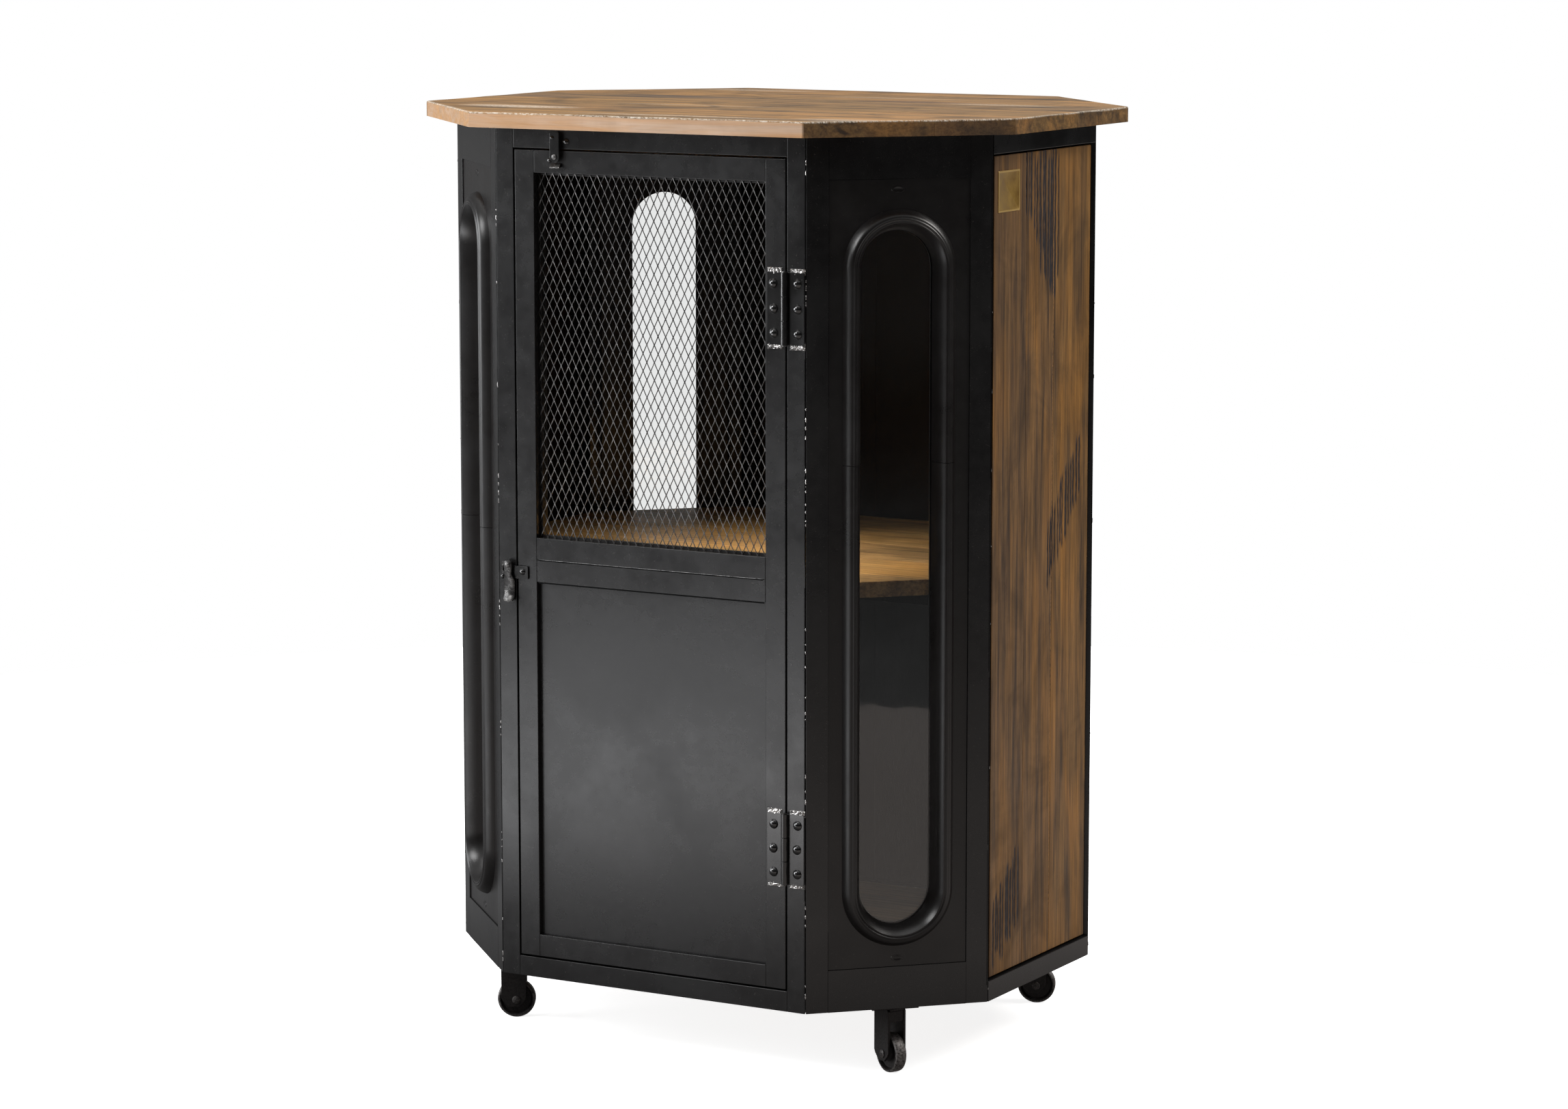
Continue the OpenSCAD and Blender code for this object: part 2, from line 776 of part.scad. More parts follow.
module axle(index) {
    half = fork_gap / 2 + fork_t;
    color(bright_steel) at_caster(index) translate([0, -caster_trail, wheel_r]) rotate([0, 90, 0]) {
        cylinder(r = axle_r, h = 2 * half, center = true);
        for (side = [0, 1]) mirror([0, 0, side])
            translate([0, 0, half]) cylinder(r = axle_head_r, h = axle_head_t);
    }
}

// Cast wheel: hub, web and a rim with a slightly crowned tread
module wheel(index) {
    rim_in = wheel_r - 5;
    web = wheel_w / 4;
    bore = axle_r + wheel_play;
    color(iron) at_caster(index) translate([0, -caster_trail, wheel_r]) rotate([0, 90, 0])
        rotate_extrude($fn = 96) polygon([
            [bore, -hub_w / 2], [hub_r, -hub_w / 2], [hub_r + 1, -web], [rim_in, -web],
            [rim_in + 1, -wheel_w / 2], [wheel_r - 1, -wheel_w / 2], [wheel_r, -wheel_w / 2 + 1.5],
            [wheel_r, wheel_w / 2 - 1.5], [wheel_r - 1, wheel_w / 2], [rim_in + 1, wheel_w / 2],
            [rim_in, web], [hub_r + 1, web], [hub_r, hub_w / 2], [bore, hub_w / 2]
        ]);
}

module front_right_fork() { fork(0); }
module back_right_fork() { fork(1); }
module back_left_fork() { fork(2); }
module front_left_fork() { fork(3); }
module front_right_axle() { axle(0); }
module back_right_axle() { axle(1); }
module back_left_axle() { axle(2); }
module front_left_axle() { axle(3); }
module front_right_wheel() { wheel(0); }
module back_right_wheel() { wheel(1); }
module back_left_wheel() { wheel(2); }
module front_left_wheel() { wheel(3); }

top_slab();
right_wood_panel();
left_wood_panel();
back_wood_panel();
shelf();
floor_board();
front_posts();
front_rails();
back_rails();
side_rails();
corner_stiles();
corner_ring_rails();
corner_inner_rails();
panel_battens();
shelf_bearers();
floor_bearers();
front_right_corner_panel();
back_right_corner_panel();
back_left_corner_panel();
front_left_corner_panel();
front_right_moulding();
back_right_moulding();
back_left_moulding();
front_left_moulding();
front_right_glass();
back_right_glass();
back_left_glass();
front_left_glass();
glass_retainers();
blank_plate();
top_screws();
frame_hinge_leaves();
hinge_pins();
frame_rivets();
side_latch_keeper();
caster_plates();
door_stiles();
door_rails();
door_mesh();
mesh_retainers();
door_sheet();
door_hinge_leaves();
door_rivets();
side_latch_strap();
top_latch_hook();
latch_pivots();
side_latch_lever();
top_latch_arm();
front_right_fork();
back_right_fork();
back_left_fork();
front_left_fork();
front_right_axle();
back_right_axle();
back_left_axle();
front_left_axle();
front_right_wheel();
back_right_wheel();
back_left_wheel();
front_left_wheel();
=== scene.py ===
"""Looks of an octagonal steel and wood cabinet on casters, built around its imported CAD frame.

All lengths are in metres. A face's own frame has X along the face, Y into the cabinet and Z up from
the body's bottom; faces are counted from the door face towards +X, as in the design.
"""
import json
import math
import random

import bmesh
import bpy
import numpy as np
from mathutils import Matrix, Vector


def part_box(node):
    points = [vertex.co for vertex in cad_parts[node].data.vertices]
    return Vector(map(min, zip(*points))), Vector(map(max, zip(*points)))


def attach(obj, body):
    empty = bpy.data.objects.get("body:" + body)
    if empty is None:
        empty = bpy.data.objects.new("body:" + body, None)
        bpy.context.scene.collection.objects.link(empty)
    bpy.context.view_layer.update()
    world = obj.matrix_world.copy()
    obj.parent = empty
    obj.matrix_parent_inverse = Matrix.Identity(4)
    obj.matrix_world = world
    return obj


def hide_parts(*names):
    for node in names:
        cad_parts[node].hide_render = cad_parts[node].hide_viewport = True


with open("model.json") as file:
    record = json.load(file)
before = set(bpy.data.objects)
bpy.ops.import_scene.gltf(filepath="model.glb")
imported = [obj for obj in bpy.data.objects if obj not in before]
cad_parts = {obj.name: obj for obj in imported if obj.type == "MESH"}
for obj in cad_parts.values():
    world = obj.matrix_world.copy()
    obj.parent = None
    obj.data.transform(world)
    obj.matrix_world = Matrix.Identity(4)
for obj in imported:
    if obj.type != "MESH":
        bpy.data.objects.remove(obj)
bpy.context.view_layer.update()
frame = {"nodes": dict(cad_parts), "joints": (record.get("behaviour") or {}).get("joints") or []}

MM = 0.001


def add_object(name, data):
    made = bpy.data.objects.new(name, data)
    bpy.context.scene.collection.objects.link(made)
    return made


# ---- Camera ----

CAMERA_AT = (2.691, -4.744, 1.381)
CAMERA_YAW = math.radians(29.43)
CAMERA_PITCH = math.radians(-8.56)
CAMERA_LENS = 105.4
CAMERA_SENSOR = 36


def make_camera():
    data = bpy.data.cameras.new("camera")
    data.lens = CAMERA_LENS
    data.sensor_width = CAMERA_SENSOR
    camera = add_object("camera", data)
    camera.location = CAMERA_AT
    camera.rotation_euler = (math.pi / 2 + CAMERA_PITCH, 0, CAMERA_YAW)
    bpy.context.scene.camera = camera


# ---- Sizes from the frame ----

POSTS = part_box("front_posts")
SIDE_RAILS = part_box("side_rails")
HALF_W = SIDE_RAILS[1].x
FRONT_Y = POSTS[0].y
HALF_D = -FRONT_Y
BASE_Z = POSTS[0].z
BODY_H = POSTS[1].z - BASE_Z
FRONT_HALF = round(POSTS[1].x, 3)
CHAMFER = HALF_W - FRONT_HALF

FRONT, FRONT_RIGHT, RIGHT, BACK_RIGHT, BACK, BACK_LEFT, LEFT, FRONT_LEFT = range(8)
CORNERS = {
    "front_right": FRONT_RIGHT,
    "back_right": BACK_RIGHT,
    "back_left": BACK_LEFT,
    "front_left": FRONT_LEFT,
}
JOINTS = {joint["name"]: joint for joint in frame["joints"]}


def face_matrix(face):
    """The frame of one face: 0 is the door face."""
    corner = Vector((HALF_W - CHAMFER / 2, HALF_D - CHAMFER / 2))
    signs = [(0, -1), (1, -1), (1, 0), (1, 1), (0, 1), (-1, 1), (-1, 0), (-1, -1)][face]
    middle = Vector((signs[0] * corner.x, signs[1] * corner.y, BASE_Z))
    if face % 2 == 0:
        middle.x, middle.y = signs[0] * HALF_W, signs[1] * HALF_D
    return Matrix.Translation(middle) @ Matrix.Rotation(math.radians(45 * face), 4, "Z")


def caster_matrix(corner):
    """The frame of one caster: X along its axle, Z up along its kingpin from the floor."""
    pin = JOINTS[corner + "_swivel_turn"]["pos_m"]
    axle = JOINTS[corner + "_wheel_spin"]["axis"]
    turn = math.atan2(axle[1], axle[0])
    return Matrix.Translation((pin[0], pin[1], 0)) @ Matrix.Rotation(turn, 4, "Z")


def local_box(node, matrix):
    """Lowest and highest corner of a CAD node, in a frame of its own."""
    inverse = matrix.inverted()
    points = np.array([inverse @ v.co for v in frame["nodes"][node].data.vertices])
    return Vector(points.min(0)), Vector(points.max(0))


# ---- Mesh building ----

# Radius at the closed end of a turned shape
POLE = 1e-5


class Shape:
    """Points and faces of one piece, gathered in a local frame."""

    def __init__(self):
        self.points = []
        self.faces = []
        self.values = {}

    def add(self, points, faces, **values):
        """Adds points and faces. values give named numbers to the points, 0 where they aren't given."""
        base = len(self.points)
        for name in set(self.values) | set(values):
            have = self.values.setdefault(name, [0.0] * base)
            have.extend(values.get(name, [0.0] * len(points)))
        self.points.extend(tuple(p) for p in points)
        self.faces.extend(tuple(base + i for i in face) for face in faces)

    def loft(self, rings, wrap=False):
        """A closed skin over rings of equally many points. With wrap the last ring meets the first."""
        n, count = len(rings[0]), len(rings)
        faces = []
        for i in range(count if wrap else count - 1):
            low, high = i * n, (i + 1) % count * n
            faces += [(low + j, low + (j + 1) % n, high + (j + 1) % n, high + j) for j in range(n)]
        if not wrap:
            faces += [tuple(range(n)), tuple((count - 1) * n + j for j in range(n))]
        self.add([p for ring in rings for p in ring], faces)

    def prism(self, outline, low, high, axis="y", matrix=Matrix()):
        """An outline pushed along one axis. It holds (x, z) for y, (y, z) for x and (x, y) for z."""
        place = {"y": lambda a, b, c: (a, c, b), "x": lambda a, b, c: (c, a, b), "z": lambda a, b, c: (a, b, c)}
        self.loft([[matrix @ Vector(place[axis](a, b, c)) for a, b in outline] for c in (low, high)])

    def block(self, low, high, matrix=Matrix()):
        outline = [(low[0], low[1]), (high[0], low[1]), (high[0], high[1]), (low[0], high[1])]
        self.prism(outline, low[2], high[2], "z", matrix)

    def turned(self, profile, matrix, steps=24, wrap=False):
        """A profile of (radius, height) points turned about the local Z axis. A ring's profile takes wrap."""
        turns = [2 * math.pi * i / steps for i in range(steps)]
        rings = [[matrix @ Vector((r * math.cos(t), r * math.sin(t), h)) for t in turns] for r, h in profile]
        self.loft(rings, wrap)

    def bead(self, start, end, radius, rng):
        """An uneven weld bead from start to end."""
        flat, pitch, sides = 0.7, 2.2 * MM, 10
        start, end = Vector(start), Vector(end)
        along = end - start
        turn = along.to_track_quat("Z", "Y").to_matrix()
        count = max(3, round(along.length / (0.8 * MM)))
        rings = []
        for i in range(count + 1):
            t = i / count
            wave = 0.78 + 0.22 * abs(math.sin(math.pi * t * along.length / pitch))
            size = radius * wave * rng.uniform(0.82, 1.15) * min(1, 0.35 + 4 * min(t, 1 - t))
            shift = Vector((rng.uniform(-0.12, 0.12), rng.uniform(-0.08, 0.08), 0)) * radius
            middle = start + along * t + turn @ shift
            rings.append([
                middle + turn @ Vector((size * math.cos(a), flat * size * math.sin(a), 0))
                for a in (2 * math.pi * k / sides for k in range(sides))
            ])
        self.loft(rings)


def arc(x, y, radius, start, end, count):
    """Points on an arc, with its angles in degrees."""
    angles = [math.radians(start + (end - start) * i / count) for i in range(count + 1)]
    return [(x + radius * math.cos(a), y + radius * math.sin(a)) for a in angles]


def rounded(x0, y0, x1, y1, radius, count=4):
    """A rectangle's outline with round corners."""
    corners = [(x1 - radius, y1 - radius, 0), (x0 + radius, y1 - radius, 90)]
    corners += [(x0 + radius, y0 + radius, 180), (x1 - radius, y0 + radius, 270)]
    return [p for x, y, a in corners for p in arc(x, y, radius, a, a + 90, count)]


def dome(radius, rise, count=6):
    """Profile of a rivet's head over a short skirt."""
    ball = (radius**2 + rise**2) / (2 * rise)
    angles = [math.asin(radius / ball) * (1 - i / count) for i in range(count)]
    head = [(ball * math.sin(a), rise - ball + ball * math.cos(a)) for a in angles]
    return [(radius, -0.4 * MM), *head, (POLE, rise)]


def mirrored(profile):
    """The lower half of a turned profile, and its mirror image after it."""
    return profile + [(r, -h) for r, h in reversed(profile)]


def outward(x, y, z):
    """A frame at a point of a face whose Z axis leaves the cabinet."""
    return Matrix.Translation((x, y, z)) @ Matrix.Rotation(math.pi / 2, 4, "X")


def piece(name, shape, material, body, nodes=(), matrix=None, bevel=0.0, crease=35):
    """Makes one Blender piece of a shape and puts it on a body."""
    mesh = bpy.data.meshes.new(name)
    mesh.from_pydata(shape.points, [], shape.faces)
    for key, values in shape.values.items():
        mesh.attributes.new(key, "FLOAT", "POINT").data.foreach_set("value", values)
    welded = bmesh.new()
    welded.from_mesh(mesh)
    bmesh.ops.remove_doubles(welded, verts=welded.verts, dist=2e-6)
    bmesh.ops.recalc_face_normals(welded, faces=welded.faces)
    welded.to_mesh(mesh)
    welded.free()
    if matrix is not None:
        mesh.transform(matrix)
    mesh.shade_smooth()
    mesh.set_sharp_from_angle(angle=math.radians(crease))
    mesh.materials.append(material)
    made = add_object(name, mesh)
    if bevel:
        add_bevel(made, bevel)
    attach(made, body)
    if nodes:
        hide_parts(*nodes)


def add_bevel(made, width):
    bevel = made.modifiers.new("worn_edges", "BEVEL")
    bevel.width = width
    bevel.segments = 2
    bevel.limit_method = "ANGLE"
    bevel.angle_limit = math.radians(35)
    bevel.harden_normals = True


def dress(node, material, bevel=0.0):
    """Gives a CAD node that stays in sight its material and soft edges."""
    made = frame["nodes"][node]
    for holder in made.material_slots:
        holder.material = material
    if bevel:
        weld = made.modifiers.new("weld", "WELD")
        weld.merge_threshold = 5e-6
        add_bevel(made, bevel)


# ---- Materials ----


class Nodes:
    """A node tree, with short ways to add nodes to it."""

    def __init__(self, tree):
        self.tree = tree

    def node(self, kind, inputs=None, **settings):
        made = self.tree.nodes.new(kind)
        for key, value in settings.items():
            setattr(made, key, value)
        for key, value in (inputs or {}).items():
            self.put(made.inputs[key], value)
        return made

    def put(self, socket, value):
        """Links an output to a socket, or sets a plain value on it."""
        if isinstance(value, bpy.types.NodeSocket):
            self.tree.links.new(value, socket)
        elif isinstance(value, tuple) and len(value) == 3 and len(socket.default_value) == 4:
            socket.default_value = (*value, 1)
        else:
            socket.default_value = value

    def math(self, operation, a, b=0.0, clamp=False):
        return self.node("ShaderNodeMath", {0: a, 1: b}, operation=operation, use_clamp=clamp).outputs[0]

    def between(self, value, low, high, to_low=0.0, to_high=1.0, **settings):
        inputs = {"Value": value, "From Min": low, "From Max": high, "To Min": to_low, "To Max": to_high}
        return self.node("ShaderNodeMapRange", inputs, **settings).outputs[0]


class Surface(Nodes):
    """A Principled material, with short ways to add what drives it."""

    def __init__(self, name, **sockets):
        self.material = bpy.data.materials.new(name)
        self.material.use_nodes = True
        super().__init__(self.material.node_tree)
        self.shader = self.tree.nodes["Principled BSDF"]
        for key, value in sockets.items():
            self.shader.inputs[key.replace("_", " ")].default_value = value
        self.place = self.node("ShaderNodeTexCoord").outputs["Object"]

    def stretched(self, scale, place=None):
        return self.node("ShaderNodeMapping", {"Vector": place or self.place, "Scale": scale}).outputs[0]

    def noise(self, scale, detail=4.0, rough=0.55, place=None, warp=0.0):
        inputs = {"Vector": place or self.place, "Scale": scale, "Detail": detail, "Roughness": rough}
        inputs["Distortion"] = warp
        return self.node("ShaderNodeTexNoise", inputs).outputs["Fac"]

    def ramp(self, value, *stops):
        """A colour ramp through (position, colour) stops."""
        made = self.node("ShaderNodeValToRGB", {"Fac": value})
        bar = made.color_ramp
        while len(bar.elements) < len(stops):
            bar.elements.new(0.5)
        for element, (at, colour) in zip(bar.elements, stops):
            element.position = at
            element.color = (*colour, 1) if isinstance(colour, tuple) else (colour, colour, colour, 1)
        return made.outputs["Color"]

    def mix(self, share, a, b, blend="MIX"):
        return self.node("ShaderNodeMix", {0: share, 6: a, 7: b}, data_type="RGBA", blend_type=blend).outputs[2]

    def value(self, name):
        """The named number that the mesh holds at each point."""
        return self.node("ShaderNodeAttribute", attribute_name=name).outputs["Fac"]

    def colour(self, socket):
        self.put(self.shader.inputs["Base Color"], socket)

    def roughness(self, socket):
        self.put(self.shader.inputs["Roughness"], socket)

    def bump(self, *layers):
        """Bumps, each as (height, depth in metres), one over another."""
        normal = None
        for height, depth in layers:
            made = self.node("ShaderNodeBump", {"Height": height, "Distance": depth, "Strength": 1.0})
            if normal is not None:
                self.put(made.inputs["Normal"], normal)
            normal = made.outputs[0]
        self.put(self.shader.inputs["Normal"], normal)


def black_steel(name, tone=0.022, rough=0.36, warm=0.0, cloud=0.06, specular=0.5):
    """Blackened and lacquered steel: cloudy gloss, faint mottling and a fine orange peel."""
    s = Surface(name, Specular_IOR_Level=specular)
    clouds = s.noise(9, 3, 0.5, warp=0.6)
    mottle = s.noise(70, 5, 0.6)
    grain = s.noise(900, 2, 0.5)
    dark = (tone * (0.75 + warm), tone * 0.72, tone * (0.74 - warm * 0.4))
    light = (tone * (1.3 + warm), tone * 1.25, tone * (1.28 - warm * 0.4))
    base = s.ramp(mottle, (0.25, dark), (0.75, light))
    base = s.mix(s.between(clouds, 0.45, 0.75, 0, 0.4), base, (tone * 1.5, tone * 1.5, tone * 1.56))
    speck = s.between(s.noise(380, 2, 0.5), 0.68, 0.76)
    s.colour(s.mix(speck, base, (tone * 4, tone * 3.7, tone * 3.5)))
    gloss = s.between(clouds, 0.3, 0.7, rough - cloud, rough + cloud)
    s.roughness(s.math("ADD", gloss, s.between(mottle, 0.3, 0.7, -0.02, 0.02)))
    s.bump((grain, 0.03 * MM), (mottle, 0.06 * MM))
    return s.material


def worn_steel(name, tone=0.18, rough=0.34, dark=0.03):
    """Bare hammered steel: bright where it is rubbed, dark in the dents."""
    s = Surface(name, Metallic=0.85)
    dents = s.noise(260, 4, 0.6, warp=0.4)
    wide = s.noise(60, 3, 0.5)
    base = s.ramp(dents, (0.34, (dark, dark * 0.95, dark * 0.95)), (0.62, (tone, tone * 0.97, tone * 0.95)))
    s.colour(s.mix(s.between(wide, 0.5, 0.8, 0, 0.6), base, (tone * 1.7, tone * 1.65, tone * 1.6)))
    s.roughness(s.between(dents, 0.3, 0.7, rough + 0.12, rough - 0.08))
    s.bump((dents, 0.35 * MM))
    return s.material


def cast_iron(name):
    s = Surface(name, Metallic=0.3)
    pits = s.noise(420, 5, 0.65)
    patches = s.noise(45, 3, 0.5)
    base = s.ramp(pits, (0.3, (0.010, 0.009, 0.009)), (0.7, (0.035, 0.030, 0.029)))
    worn = s.value("worn")
    bright = s.mix(s.between(patches, 0.35, 0.7), (0.16, 0.145, 0.14), (0.34, 0.32, 0.31))
    s.colour(s.mix(s.math("MULTIPLY", worn, s.between(pits, 0.35, 0.6), True), base, bright))
    s.roughness(s.between(patches, 0.3, 0.7, 0.34, 0.5))
    s.bump((pits, 0.3 * MM))
    return s.material


def brass(name):
    s = Surface(name, Metallic=0.4)
    stain = s.noise(60, 4, 0.6)
    brush = s.noise(1, 3, 0.5, place=s.stretched((600, 1500, 90)))
    base = s.ramp(stain, (0.3, (0.24, 0.13, 0.025)), (0.7, (0.42, 0.26, 0.06)))
    edge = s.value("raised")
    s.colour(s.mix(edge, base, (0.60, 0.40, 0.14)))
    s.roughness(s.between(stain, 0.3, 0.7, 0.3, 0.45))
    s.bump((brush, 0.05 * MM))
    return s.material


def clear_glass(name):
    """A clear pane: what is behind it shows, with a mirror's share by Fresnel."""
    s = Surface(name)
    s.tree.nodes.remove(s.shader)
    see = s.node("ShaderNodeBsdfTransparent", {"Color": (0.935, 0.94, 0.937)})
    wave = s.noise(14, 2, 0.5)
    bump = s.node("ShaderNodeBump", {"Height": wave, "Distance": 0.15 * MM, "Strength": 1.0})
    shine = s.node("ShaderNodeBsdfGlossy", {"Color": (1, 1, 1), "Roughness": 0.02, "Normal": bump.outputs[0]})
    share = s.node("ShaderNodeFresnel", {"IOR": 1.52})
    both = s.node("ShaderNodeMixShader", {0: share.outputs[0], 1: see.outputs[0], 2: shine.outputs[0]})
    s.put(s.tree.nodes["Material Output"].inputs["Surface"], both.outputs[0])
    return s.material


def wood(name, along, dark, mid, light, streak, gloss=0.5, pale=(0.42, 0.24, 0.11), scrub=(300, 700, 300), smudge=0.58):
    """Old waxed planks: grain along one axis, stains, pores, and the gouged, sawn and pale places, with painted shade
    in the gouges, on the inner faces and on some edges, and painted light with the bared wood of the front edges.
    """
    s = Surface(name, Specular_IOR_Level=0.35)
    board = s.value("board")
    shift = s.node("ShaderNodeCombineXYZ", {"X": board, "Y": board, "Z": board}).outputs[0]
    place = s.node("ShaderNodeVectorMath", {0: s.place, 1: shift}, operation="ADD").outputs[0]

    def grain(across, lengthwise, detail, rough, warp=0.0):
        scale = [across] * 3
        scale["XYZ".index(along)] = lengthwise
        return s.noise(1, detail, rough, s.stretched(tuple(scale), place=place), warp)

    broad = grain(20, 2.2, 3, 0.5, 1.0)
    rings = grain(60, 3.5, 5, 0.62, 1.2)
    fine = grain(480, 14, 4, 0.65)
    lines = grain(170, 5, 4, 0.72, 0.4)
    flecks = grain(1100, 110, 2, 0.5)
    stain = s.noise(8, 4, 0.6, place, 0.9)
    base = s.ramp(rings, (0.32, dark), (0.44, mid), (0.58, light), (0.72, mid))
    base = s.mix(s.between(broad, 0.47, 0.64, 0, 0.85), base, streak)
    base = s.mix(0.9, base, s.ramp(lines, (0.36, 0.62), (0.60, 1.15)), "MULTIPLY")
    tones = s.ramp(stain, (0.34, (smudge, smudge * 1.02, smudge * 1.08)), (0.50, (1, 1, 1)), (0.70, (1.20, 1.12, 0.98)))
    base = s.mix(0.8, base, tones, "MULTIPLY")
    kind = s.ramp(s.value("tone"), (0.0, (0.74, 0.78, 0.90)), (0.5, (1, 1, 1)), (1.0, (1.12, 1.10, 0.90)))
    base = s.mix(1.0, base, kind, "MULTIPLY")
    base = s.mix(0.9, base, s.ramp(fine, (0.30, 0.62), (0.60, 1.12)), "MULTIPLY")
    pits = s.between(flecks, 0.66, 0.74)
    base = s.mix(s.math("MULTIPLY", pits, 0.5), base, tuple(c * 0.4 for c in dark))
    sawn = s.noise(1, 3, 0.7, s.stretched(scrub))
    worn = s.math("MULTIPLY", s.value("pale"), s.between(sawn, 0.40, 0.60), True)
    base = s.mix(worn, base, pale)
    # Pale peach on the top's front and front-left edges: bared wood, and painted light on the sides that face the
    # lamps.
    bare_and_painted_light = s.math("MULTIPLY", s.value("edge"), s.between(stain, 0.25, 0.6, 1.0, 0.7))
    peach = s.mix(s.between(rings, 0.4, 0.62), (0.62, 0.43, 0.30), (0.56, 0.31, 0.15))
    base = s.mix(bare_and_painted_light, base, s.mix(0.6, peach, s.ramp(fine, (0.3, 0.8), (0.6, 1.05)), "MULTIPLY"))
    # Dark stains on the top, and painted shade: in the gouges, by their depth, and on the top's edges that face away
    # from the light.
    base = s.mix(s.value("mark"), base, (0.030, 0.028, 0.033))
    # Painted shade: the planks' inner faces and their sides in the joints, inside the cabinet, are darkened nearly to
    # black.
    base = s.mix(s.value("inner"), base, (0.012, 0.006, 0.004))
    s.colour(base)
    rubbed = s.between(stain, 0.3, 0.7, gloss + 0.08, gloss - 0.08)
    s.roughness(s.math("ADD", rubbed, s.math("MULTIPLY", worn, 0.2)))
    s.bump((fine, 0.10 * MM), (rings, 0.25 * MM), (pits, -0.12 * MM), (worn, 0.15 * MM))
    return s.material


make_camera()

M_FRAME = black_steel("frame_steel_black", 0.009, 0.25)
M_DOOR = black_steel("door_steel_black", 0.010, 0.26)
M_SHEET = black_steel("sheet_steel_black", 0.011, 0.28, cloud=0.04)
M_TRIM = black_steel("trim_steel_black", 0.007, 0.32, warm=0.12)
M_HINGE = black_steel("hinge_steel_black", 0.007, 0.20, cloud=0.08, specular=0.7)
M_BRIGHT = worn_steel("worn_bright_steel")
M_RIVET = black_steel("rivet_steel_black", 0.008, 0.12, cloud=0.05, specular=0.9)
M_WELD = worn_steel("weld_steel", 0.62, 0.20, 0.05)
# Painted shade: near-black, for the strips and filler set in seams and gaps where shade falls
M_PAINTED_SHADE = black_steel("painted_shade_black", 0.001, 0.75, cloud=0.03, specular=0.1)
M_MESH = worn_steel("mesh_steel", 0.12, 0.34, 0.03)
M_LATCH = worn_steel("latch_steel", 0.09, 0.28, 0.02)
M_IRON = cast_iron("caster_cast_iron")
M_BRASS = brass("blank_brass")
M_GLASS = clear_glass("window_glass")
M_TOP = wood(
    "top_planks", "X", (0.066, 0.038, 0.017), (0.165, 0.092, 0.034), (0.270, 0.150, 0.052), (0.35, 0.175, 0.052),
    pale=(0.66, 0.58, 0.48), scrub=(260, 900, 300), smudge=0.34,
)
M_SIDE = wood(
    "side_planks", "Z", (0.070, 0.042, 0.025), (0.152, 0.084, 0.038), (0.250, 0.134, 0.050), (0.320, 0.152, 0.038),
    gloss=0.48, pale=(0.42, 0.22, 0.08),
)
M_SHELF = wood(
    "shelf_planks", "X", (0.20, 0.115, 0.05), (0.34, 0.20, 0.085), (0.48, 0.30, 0.13), (0.50, 0.29, 0.11), gloss=0.42
)

# ---- Wood ----

# Half the gap between two planks
HALF_GAP = 0.15 * MM
# Half widths and depths of the gouges, in millimetres
GOUGE_HALF = (1.7, 2.6)
GOUGE_DEPTH = (0.8, 1.5)


def spread(low, high, step, arris, extra=()):
    """Grid lines from low to high, close together along both edges."""
    near = [0, 0.12 * arris, 0.4 * arris, 0.75 * arris, arris]
    lines = [low + d for d in near] + [high - d for d in near]
    count = max(1, round((high - low - 2 * arris) / step))
    lines += [low + arris + (high - low - 2 * arris) * i / count for i in range(1, count)]
    lines += [e for e in extra if low + arris < e < high - arris]
    lines = sorted(lines)
    return [a for a, b in zip(lines, lines[1:] + [lines[-1] + 1]) if b - a > 1e-6]


def rolled(distance, radius):
    """How far a rounded edge falls away at a distance from it."""
    gap = np.clip(radius - distance, 0, radius)
    return radius - np.sqrt(np.maximum(radius**2 - gap**2, 0))


def grid_solid(shape, points, back, skirt=None, **values):
    """A closed solid: a grid of points as its shown side, and the grid's border pushed to its back.

    skirt gives the named numbers of a border point's side and back, which are 0 where it gives none.
    """
    rows, columns = points.shape[:2]
    flat = points.reshape(-1, 3)
    faces = [
        (i * columns + j, i * columns + j + 1, (i + 1) * columns + j + 1, (i + 1) * columns + j)
        for i in range(rows - 1)
        for j in range(columns - 1)
    ]
    border = list(range(columns)) + [i * columns + columns - 1 for i in range(1, rows)]
    border += [(rows - 1) * columns + j for j in range(columns - 2, -1, -1)]
    border += [i * columns for i in range(rows - 2, 0, -1)]
    behind = [Vector(back(flat[i])) for i in border]
    upper = [Vector(flat[i]).lerp(end, 0.06) for i, end in zip(border, behind)]
    n = len(border)
    first = len(flat)
    for k in range(n):
        after = (k + 1) % n
        faces.append((border[k], first + k, first + after, border[after]))
        faces.append((first + k, first + n + k, first + n + after, first + after))
    faces.append(tuple(range(first + n, first + 2 * n)))
    sides = [skirt(flat[i]) if skirt else {} for i in border]
    full = {}
    for key in set(values) | {name for side in sides for name in side}:
        own = np.broadcast_to(values.get(key, 0.0), points.shape[:2]).reshape(-1)
        kept = key in ("board", "tone")
        low = [float(own[i]) if kept else side.get(key, 0.0) for i, side in zip(border, sides)]
        full[key] = [float(v) for v in own] + low + low
    shape.add([tuple(p) for p in flat] + upper + behind, faces, **full)


def strokes(rng, count, left, right, low, high, jitter=0.008):
    """Upright gouges: (across, bottom, top, half width, depth). low and high give the ends by place."""
    made = []
    for i in range(count):
        t = (i + rng.uniform(0.25, 0.75)) / count
        ends = [np.interp(t, *zip(*line)) + rng.uniform(-jitter, jitter) for line in (low, high)]
        across = left + (right - left) * t + rng.uniform(-0.3, 0.3) * MM
        made.append((across, ends[0], ends[1], rng.uniform(*GOUGE_HALF) * MM, rng.uniform(*GOUGE_DEPTH) * MM))
    return made


